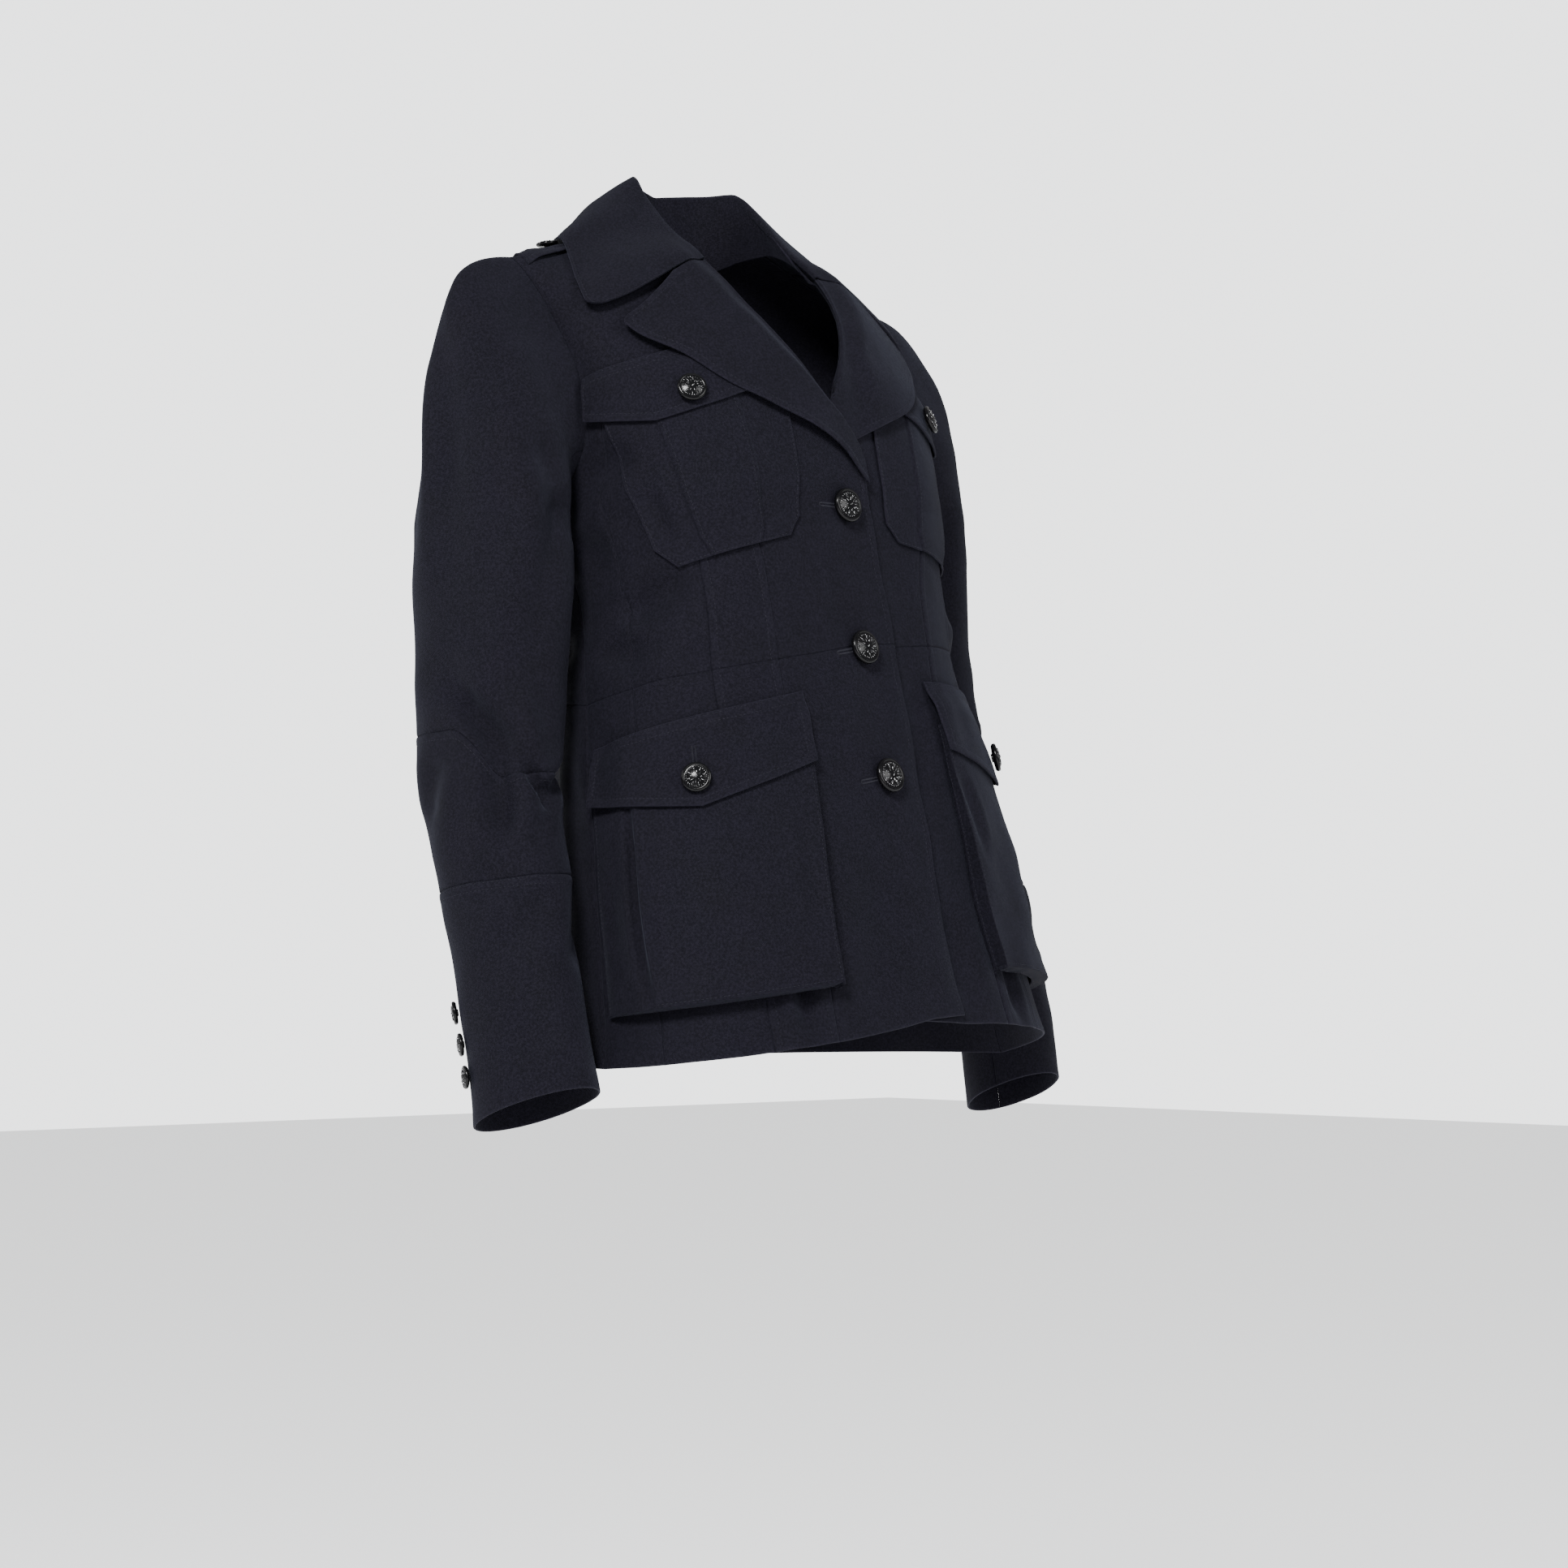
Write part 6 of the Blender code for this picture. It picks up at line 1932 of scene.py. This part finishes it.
    def work(self, name: str, points: Array, normals: Array) -> None:
        """Work a buttonhole's close stitches round a slit.

        Args:
            name: Name of the piece.
            points: Line of the slit.
            normals: Outward normals there.
        """
        points = points + normals * self.drape.relief(points)[..., None]
        walk = walk_of(points)
        places = np.arange(self.end_gap, walk[-1], self.stitch_pitch)
        centre, up = read_line(places, walk, points), unit(read_line(places, walk, normals))
        ahead = unit(np.gradient(centre, axis=0))
        across = unit(np.cross(up, ahead))
        bars = [bar_mesh(centre + across * way * self.beside, across, up, self.beside_size) for way in (-1, 1)]
        turns = np.linspace(*self.fan_turns)
        end = centre[-1] + ahead[-1] * self.end_gap
        spoke = np.cos(turns)[:, None] * ahead[-1] + np.sin(turns)[:, None] * across[-1]
        ups = np.broadcast_to(up[-1], spoke.shape)
        bars.append(bar_mesh(end + spoke * self.fan, spoke, ups, self.fan_size))
        cloth_piece(name, merged(bars), self.thread)


class Graph:
    """Small helper for a material's nodes."""

    def __init__(self, name: str) -> None:
        """Start a material with its principled shader."""
        self.material = bpy.data.materials.new(name)
        self.material.use_nodes = True
        self.nodes = self.material.node_tree.nodes
        self.links = self.material.node_tree.links
        self.spot = self.node("TexCoord").outputs["Object"]

    def put(self, node: bpy.types.Node, key: int | str, value: object) -> None:
        """Link or set a node's input."""
        socket = node.inputs[key.replace("_", " ") if isinstance(key, str) else key]
        if isinstance(value, Socket):
            self.links.new(value, socket)
        else:
            socket.default_value = value

    def node(self, kind: str, *inputs: object, **values: object) -> bpy.types.Node:
        """Add a node.

        Args:
            kind: Node type, without its prefix.
            inputs: Its first inputs, to set or link.
            values: Properties, by their names in small letters, and other inputs, by their names
                with underscores for spaces.

        Returns:
            The node.
        """
        made = self.nodes.new(f"ShaderNode{kind}")
        for key, value in values.items():
            if key.islower():
                setattr(made, key, value)
            else:
                self.put(made, key, value)
        for k, value in enumerate(inputs):
            self.put(made, k, value)
        return made

    def maths(self, operation: str, *inputs: object) -> Socket:
        """Result of a Math node."""
        return self.node("Math", *inputs, operation=operation).outputs[0]

    def mix(self, share: Socket, first: tuple, second: tuple) -> Socket:
        """Colour between two."""
        made = self.node("Mix", share, data_type="RGBA")
        self.put(made, 6, (*first, 1))
        self.put(made, 7, (*second, 1))
        return made.outputs[2]

    def noise(self, scale: float, detail: float) -> Socket:
        """Value of a noise texture over the object."""
        return self.node("TexNoise", Vector=self.spot, Scale=scale, Detail=detail).outputs["Fac"]

    def range(self, value: Socket, low: float, high: float, to_low: float, to_high: float) -> Socket:
        """Result of a Map Range node."""
        return self.node("MapRange", value, low, high, to_low, to_high).outputs[0]

    def bump(self, height: Socket, distance: float, strength: float, **under: Socket) -> Socket:
        """Normal of a Bump node, over another normal where one is given."""
        made = self.node("Bump", Strength=strength, Distance=distance, Height=height, **under)
        return made.outputs["Normal"]

    def finish(self, **values: object) -> Material:
        """Set or link the shader's inputs, and give the material."""
        for key, value in values.items():
            self.put(self.nodes["Principled BSDF"], key, value)
        return self.material


@dataclass(frozen=True)
class TwillFinish:
    """Navy wool twill with a faint nap, painted a little lighter along its edges and raised welts for edge wear
    and a painted highlight.
    """

    name: str = "navy_twill"
    colour: tuple = (0.0011, 0.0010, 0.0023)
    pale: tuple = (0.0104, 0.0094, 0.0158)
    sheen: tuple = (0.62, 0.68, 0.95, 1)
    rib: float = 0.00085
    angle: float = math.radians(63)
    rib_tone: float = 0.06
    # how much lighter edges and welts are painted: edge wear plus a painted highlight
    wear_and_highlight_tone: float = 0.26
    middle_tone: float = 0.22
    roughness: tuple = (0.86 - 0.05, 0.86 + 0.05)

    def make(self) -> Material:
        """Build the cloth's material."""
        g = Graph(self.name)
        fold = 2 * math.pi / self.rib
        slant = (math.cos(self.angle) * fold, math.sin(self.angle) * fold, 0.0)
        cut = g.node("TexCoord").outputs["UV"]
        dot = g.node("VectorMath", cut, slant, operation="DOT_PRODUCT").outputs["Value"]
        ribs = g.maths("SINE", g.maths("ADD", dot, g.maths("MULTIPLY", g.noise(260.0, 2.0), 5.0)))
        cloud, fleck = g.noise(42.0, 3.0), g.noise(620.0, 1.0)
        # edges and welts are painted lighter: edge wear plus a painted highlight
        edge_wear_and_highlight = g.node("Attribute", attribute_name="wear_and_highlight").outputs["Fac"]
        tone = g.maths("ADD", g.range(cloud, 0.3, 0.7, -0.05, 0.06), g.range(fleck, 0.35, 0.7, -0.10, 0.22))
        tone = g.maths("ADD", tone, g.maths("MULTIPLY", ribs, self.rib_tone))
        tone = g.maths("ADD", tone, g.maths("MULTIPLY", edge_wear_and_highlight, self.wear_and_highlight_tone))
        tone = g.range(g.maths("ADD", tone, self.middle_tone), 0.0, 1.0, 0.0, 1.0)
        normal = g.bump(g.maths("MULTIPLY", ribs, 0.5), 0.00016, 0.55)
        normal = g.bump(g.noise(1500.0, 3.0), 0.00030, 0.55, Normal=normal)
        g.material.diffuse_color = (*self.colour, 1)
        return g.finish(
            Base_Color=g.mix(tone, self.colour, self.pale),
            Roughness=g.range(cloud, 0.3, 0.7, *self.roughness), Specular_IOR_Level=0.07, Sheen_Weight=0.025,
            Sheen_Roughness=0.45, Sheen_Tint=self.sheen,
            Normal=g.bump(g.noise(180.0, 2.0), 0.0005, 0.30, Normal=normal),
        )


@dataclass(frozen=True)
class ThreadFinish:
    """Navy sewing thread, a little lighter than the cloth."""

    name: str = "navy_thread"
    colour: tuple = (0.0064, 0.0064, 0.0100)
    pale: tuple = (0.0125, 0.0125, 0.0180)

    def make(self) -> Material:
        """Build the thread's material."""
        g = Graph(self.name)
        twist = g.noise(2600.0, 1.0)
        colour, normal = g.mix(twist, self.colour, self.pale), g.bump(twist, 0.0001, 0.5)
        return g.finish(Base_Color=colour, Roughness=0.62, Specular_IOR_Level=0.12, Normal=normal)


@dataclass(frozen=True)
class GlossFinish:
    """Glossy black button body, faintly marked by handling."""

    name: str = "black_gloss"
    colour: tuple = (0.0015, 0.0015, 0.0018)
    pale: tuple = (0.0030, 0.0030, 0.0035)

    def make(self) -> Material:
        """Build the gloss."""
        g = Graph(self.name)
        marks = g.noise(900.0, 2.0)
        colour, roughness = g.mix(marks, self.colour, self.pale), g.range(marks, 0.3, 0.7, 0.12, 0.20)
        return g.finish(Base_Color=colour, Roughness=roughness, Specular_IOR_Level=0.14)


@dataclass(frozen=True)
class ReliefFinish:
    """Dark silvered relief of the buttons, rubbed bright on its crests."""

    name: str = "silvered_relief"
    dark: tuple = (0.012, 0.012, 0.013)
    bright: tuple = (0.46, 0.46, 0.47)

    def make(self) -> Material:
        """Build the relief's metal."""
        g = Graph(self.name)
        rub = g.noise(1400.0, 2.0)
        colour = g.mix(g.range(rub, 0.50, 0.66, 0.0, 1.0), self.dark, self.bright)
        roughness, normal = g.range(rub, 0.3, 0.7, 0.34, 0.16), g.bump(rub, 0.0006, 0.8)
        return g.finish(Base_Color=colour, Metallic=0.9, Roughness=roughness, Normal=normal)


@dataclass(frozen=True)
class FloorFinish:
    """Plain pale studio floor."""

    name: str = "pale_floor"
    colour: tuple = (0.90, 0.905, 0.91)
    darker: float = 0.985
    glow: float = 1.1

    def make(self) -> Material:
        """Build the floor's material."""
        g = Graph(self.name)
        return g.finish(
            Base_Color=g.mix(g.noise(1.3, 2.0), self.colour, tuple(self.darker * c for c in self.colour)),
            Roughness=0.75,
            Emission_Color=(*self.colour, 1),
            Emission_Strength=self.glow,
        )


@dataclass
class Studio:
    """Pale floor, soft lights and the photograph's camera."""

    camera_place: tuple = (-1.8665, -2.0880, -0.5210)
    camera_pitch: float = 92.56
    camera_azimuth: float = -43.0
    lens: float = 85.0
    floor_z: float = -1.42
    floor_half: float = 14.0
    world: tuple = (0.93, 0.94, 0.95)
    air_strength: float = 0.46
    plate_strength: float = 2.9
    # x, y, z, size, watts
    lights: tuple = (
        (-3.2, -2.0, 2.3, 1.4, 440.0), (0.6, -4.2, 1.3, 2.4, 160.0), (-2.4, 2.2, 1.2, 1.6, 60.0),
    )
    aim: tuple = (0.0, -0.05, -0.28)

    def build(self) -> None:
        """Make the floor, the lights, the world and the camera."""
        deselect()
        bpy.ops.mesh.primitive_plane_add(size=2 * self.floor_half, location=(0, 0, self.floor_z))
        bpy.ops.object.transform_apply(location=True, rotation=True, scale=True)
        floor = bpy.context.object
        floor.name = "studio_floor"
        floor.data.materials.append(FloorFinish().make())
        world = bpy.data.worlds.new("studio_air")
        world.use_nodes = True
        nodes, links = world.node_tree.nodes, world.node_tree.links
        air, plate = nodes["Background"], nodes.new("ShaderNodeBackground")
        for shader, strength in ((air, self.air_strength), (plate, self.plate_strength)):
            shader.inputs["Color"].default_value = (*self.world, 1)
            shader.inputs["Strength"].default_value = strength
        ray, mix = nodes.new("ShaderNodeLightPath"), nodes.new("ShaderNodeMixShader")
        links.new(ray.outputs["Is Camera Ray"], mix.inputs[0])
        links.new(air.outputs[0], mix.inputs[1])
        links.new(plate.outputs[0], mix.inputs[2])
        links.new(mix.outputs[0], nodes["World Output"].inputs["Surface"])
        bpy.context.scene.world = world
        for number, (x, y, z, size, watts) in enumerate(self.lights, start=1):
            lamp = bpy.data.lights.new(f"softbox_{number}", "AREA")
            lamp.shape = "DISK"
            lamp.size = size
            lamp.energy = watts
            made = bpy.data.objects.new(lamp.name, lamp)
            made.location = (x, y, z)
            aim = Vector(self.aim) - Vector((x, y, z))
            made.rotation_euler = aim.to_track_quat("-Z", "Y").to_euler()
            bpy.context.scene.collection.objects.link(made)
        eye = bpy.data.cameras.new("photo_camera")
        eye.lens = self.lens
        eye.sensor_width = 36.0
        camera = bpy.data.objects.new("photo_camera", eye)
        camera.location = self.camera_place
        camera.rotation_euler = (math.radians(self.camera_pitch), 0.0, math.radians(self.camera_azimuth))
        bpy.context.scene.collection.objects.link(camera)
        bpy.context.scene.camera = camera


# start share and level, end share and level, width, depth and bow of each trough; a ridge has a
# negative depth
BODY_FOLDS = {
    (-1, -1): (
        (0.8, -0.66, 0.49, -0.47, 0.0115, 0.003, 0.02), (0.74, -0.99, 0.51, -0.74, 0.011, -0.0017),
        (0.92, -0.74, 0.72, -0.86, 0.01, 0.0018), (0.88, 0.06, 0.62, 0.16, 0.012, 0.0022),
        (0.6, 0.02, 0.565, -0.33, 0.0065, 0.0015), (0.95, -0.2, 0.78, -0.34, 0.01, 0.0016),
        (0.345, -1.99, 0.355, -1.76, 0.006, 0.0018), (0.405, -1.99, 0.4, -1.8, 0.0055, -0.001),
        (0.93, -1.12, 0.88, -1.34, 0.011, 0.0018), (0.08, -0.93, 0.02, -0.7, 0.014, 0.001),
        (0.06, -1.55, 0.16, -1.95, 0.018, 0.0016), (0.1, 0.02, 0.26, -0.18, 0.015, 0.001),
    ),
    (1, -1): (
        (0.84, -0.58, 0.55, -0.42, 0.011, 0.0026, -0.02), (0.72, -0.95, 0.5, -0.78, 0.0105, -0.0015),
        (0.9, 0.05, 0.66, 0.12, 0.012, 0.002), (0.58, 0.0, 0.55, -0.3, 0.007, 0.0013),
        (0.96, -0.22, 0.8, -0.3, 0.01, 0.0014), (0.14, -1.97, 0.17, -1.66, 0.013, 0.002),
        (0.36, -1.99, 0.35, -1.78, 0.007, 0.0016), (0.92, -1.12, 0.86, -1.3, 0.011, 0.0016),
        (0.22, -1.06, 0.14, -1.45, 0.014, 0.0014),
    ),
    (-1, 1): (
        (0.18, 0.32, 0.74, 0.1, 0.016, 0.0024, 0.03), (0.92, -0.36, 0.52, -0.6, 0.012, 0.0024),
        (0.95, -0.7, 0.6, -0.82, 0.01, 0.002), (0.44, -0.94, 0.16, -0.8, 0.011, 0.0014),
        (0.3, -1.08, 0.34, -1.62, 0.015, 0.0024), (0.66, -1.1, 0.72, -1.86, 0.016, 0.0026),
        (0.5, -1.2, 0.53, -1.95, 0.017, -0.0018), (0.86, 0.24, 0.95, 0.6, 0.011, 0.0018),
    ),
    (1, 1): (
        (0.24, 0.28, 0.8, 0.13, 0.015, 0.0022, -0.02), (0.9, -0.3, 0.48, -0.54, 0.012, 0.0026),
        (0.95, -0.76, 0.64, -0.88, 0.01, 0.0018), (0.36, -0.9, 0.12, -0.84, 0.011, 0.0012),
        (0.26, -1.1, 0.28, -1.74, 0.015, 0.0022), (0.6, -1.08, 0.68, -1.92, 0.016, 0.0026),
        (0.44, -1.3, 0.47, -1.97, 0.016, -0.0016), (0.84, 0.2, 0.94, 0.55, 0.011, 0.002),
    ),
}

BAG_FOLDS = {
    -1: (
        (0.806, -1.3, 0.768, -1.86, 0.0034, 0.0024), (0.776, -1.33, 0.736, -1.86, 0.003, -0.0009),
        (0.9, -1.5, 0.862, -1.84, 0.008, 0.0012), (0.6, -1.42, 0.43, -1.76, 0.022, -0.0012),
        (0.31, -1.4, 0.3, -1.68, 0.006, 0.0008),
    ),
    1: (
        (0.806, -1.3, 0.768, -1.86, 0.0036, 0.002), (0.776, -1.33, 0.736, -1.86, 0.0032, -0.0008),
        (0.275, -1.34, 0.305, -1.56, 0.006, 0.0012, 0.01), (0.58, -1.46, 0.46, -1.8, 0.02, -0.0012),
    ),
}

# The same numbers with turn and stage for places, on each sleeve
SLEEVE_FOLDS = {
    -1: (
        (0.355, 1.425, 0.275, 1.5, 0.0052, 0.002), (0.15, 1.425, 0.275, 1.492, 0.0062, 0.0017),
        (0.51, 1.29, 0.405, 1.4, 0.0085, 0.0032), (0.405, 1.4, 0.42, 1.56, 0.0085, 0.0024),
        (0.36, 1.3, 0.335, 1.42, 0.01, -0.0018), (0.33, 1.49, 0.4, 1.58, 0.008, -0.0012),
        (0.56, 1.4, 0.64, 1.52, 0.012, 0.0016), (0.53, 0.34, 0.5, 1.1, 0.015, 0.0021),
        (0.6, 0.28, 0.62, 1.02, 0.014, 0.0018), (0.565, 0.3, 0.56, 1.2, 0.013, -0.0014),
        (0.44, 0.42, 0.42, 1.05, 0.016, 0.0014), (0.7, 0.5, 0.74, 1.3, 0.016, 0.0022),
        (0.3, 0.6, 0.23, 1.05, 0.014, 0.002), (0.18, 0.9, 0.33, 1.24, 0.013, 0.0018, 0.02),
        (0.3, 1.66, 0.5, 1.76, 0.012, 0.0014), (0.52, 1.6, 0.36, 1.66, 0.011, 0.0012),
        (0.1, 1.62, 0.28, 1.8, 0.012, 0.0016), (0.86, 1.34, 1.06, 1.42, 0.011, 0.0026),
        (0.82, 1.46, 1.02, 1.52, 0.011, 0.0022), (0.44, 1.82, 0.42, 1.97, 0.012, 0.001),
    ),
    1: (
        (0.34, 1.415, 0.265, 1.505, 0.0055, 0.0028), (0.165, 1.43, 0.28, 1.5, 0.006, 0.0018),
        (0.52, 1.31, 0.41, 1.395, 0.008, 0.002), (0.41, 1.395, 0.435, 1.54, 0.0085, 0.0016),
        (0.365, 1.29, 0.33, 1.41, 0.01, -0.0016), (0.55, 1.42, 0.65, 1.5, 0.012, 0.0018),
        (0.51, 0.3, 0.49, 1.05, 0.015, 0.0019), (0.61, 0.32, 0.64, 1.08, 0.014, 0.0018),
        (0.72, 0.46, 0.75, 1.26, 0.016, 0.0022), (0.29, 0.64, 0.24, 1.1, 0.014, 0.0018),
        (0.33, 1.68, 0.48, 1.74, 0.012, 0.0014), (0.09, 1.6, 0.26, 1.78, 0.012, 0.0016),
        (0.88, 1.36, 1.04, 1.44, 0.011, 0.0024), (0.83, 1.48, 1.01, 1.53, 0.011, 0.002),
    ),
}


def main() -> None:
    """Build the jacket piece by piece, then the studio."""
    logging.basicConfig(level=logging.INFO, format="%(message)s")
    skin = BodySkin()
    arm = SleeveSkin(skin)
    turns = np.linspace(0, 1, ARMHOLE_PINS, endpoint=False)
    pins = np.concatenate([arm.armhole(side.value, turns) for side in Side])
    drape = Drape(seed=7, pins=pins)
    for (side, face), folds in BODY_FOLDS.items():
        drape.add(folds, lambda a, b, s=side, f=face: skin.points(s, f, a, b))
    arm_drapes = {}
    for side in Side:
        arm_drapes[side] = Drape(seed=11 + side.value, pins=pins)
        arm_drapes[side].add(SLEEVE_FOLDS[side.value], lambda a, b, s=side.value: arm.points(s, a, b))
    cloth, thread = TwillFinish().make(), ThreadFinish().make()
    maker = SheetMaker(cloth, thread)
    clear = SkinClearance(skin)
    pockets, straps = {}, {}
    for side in Side:
        Bodice(side, skin, drape).build(maker)
        Skirt(side, skin, drape).build(maker)
        Sleeve(side, arm, arm_drapes[side]).build(maker)
        Lapel(side, skin, drape).build(maker)
        chest, bellows = ChestPocket(side, skin, drape), BellowsPocket(side, skin, drape)
        chest.build(maker)
        bellows.build(maker)
        pockets[side] = (chest, bellows)
        straps[side] = Strap(side, skin)
        straps[side].build(maker, clear)
    Collar(skin, drape).build(maker, clear)
    Fastenings(
        skin, arm, drape, arm_drapes, pockets, straps, GlossFinish().make(), ReliefFinish().make(), thread
    ).build()
    Studio().build()


if __name__ == "__main__":
    main()
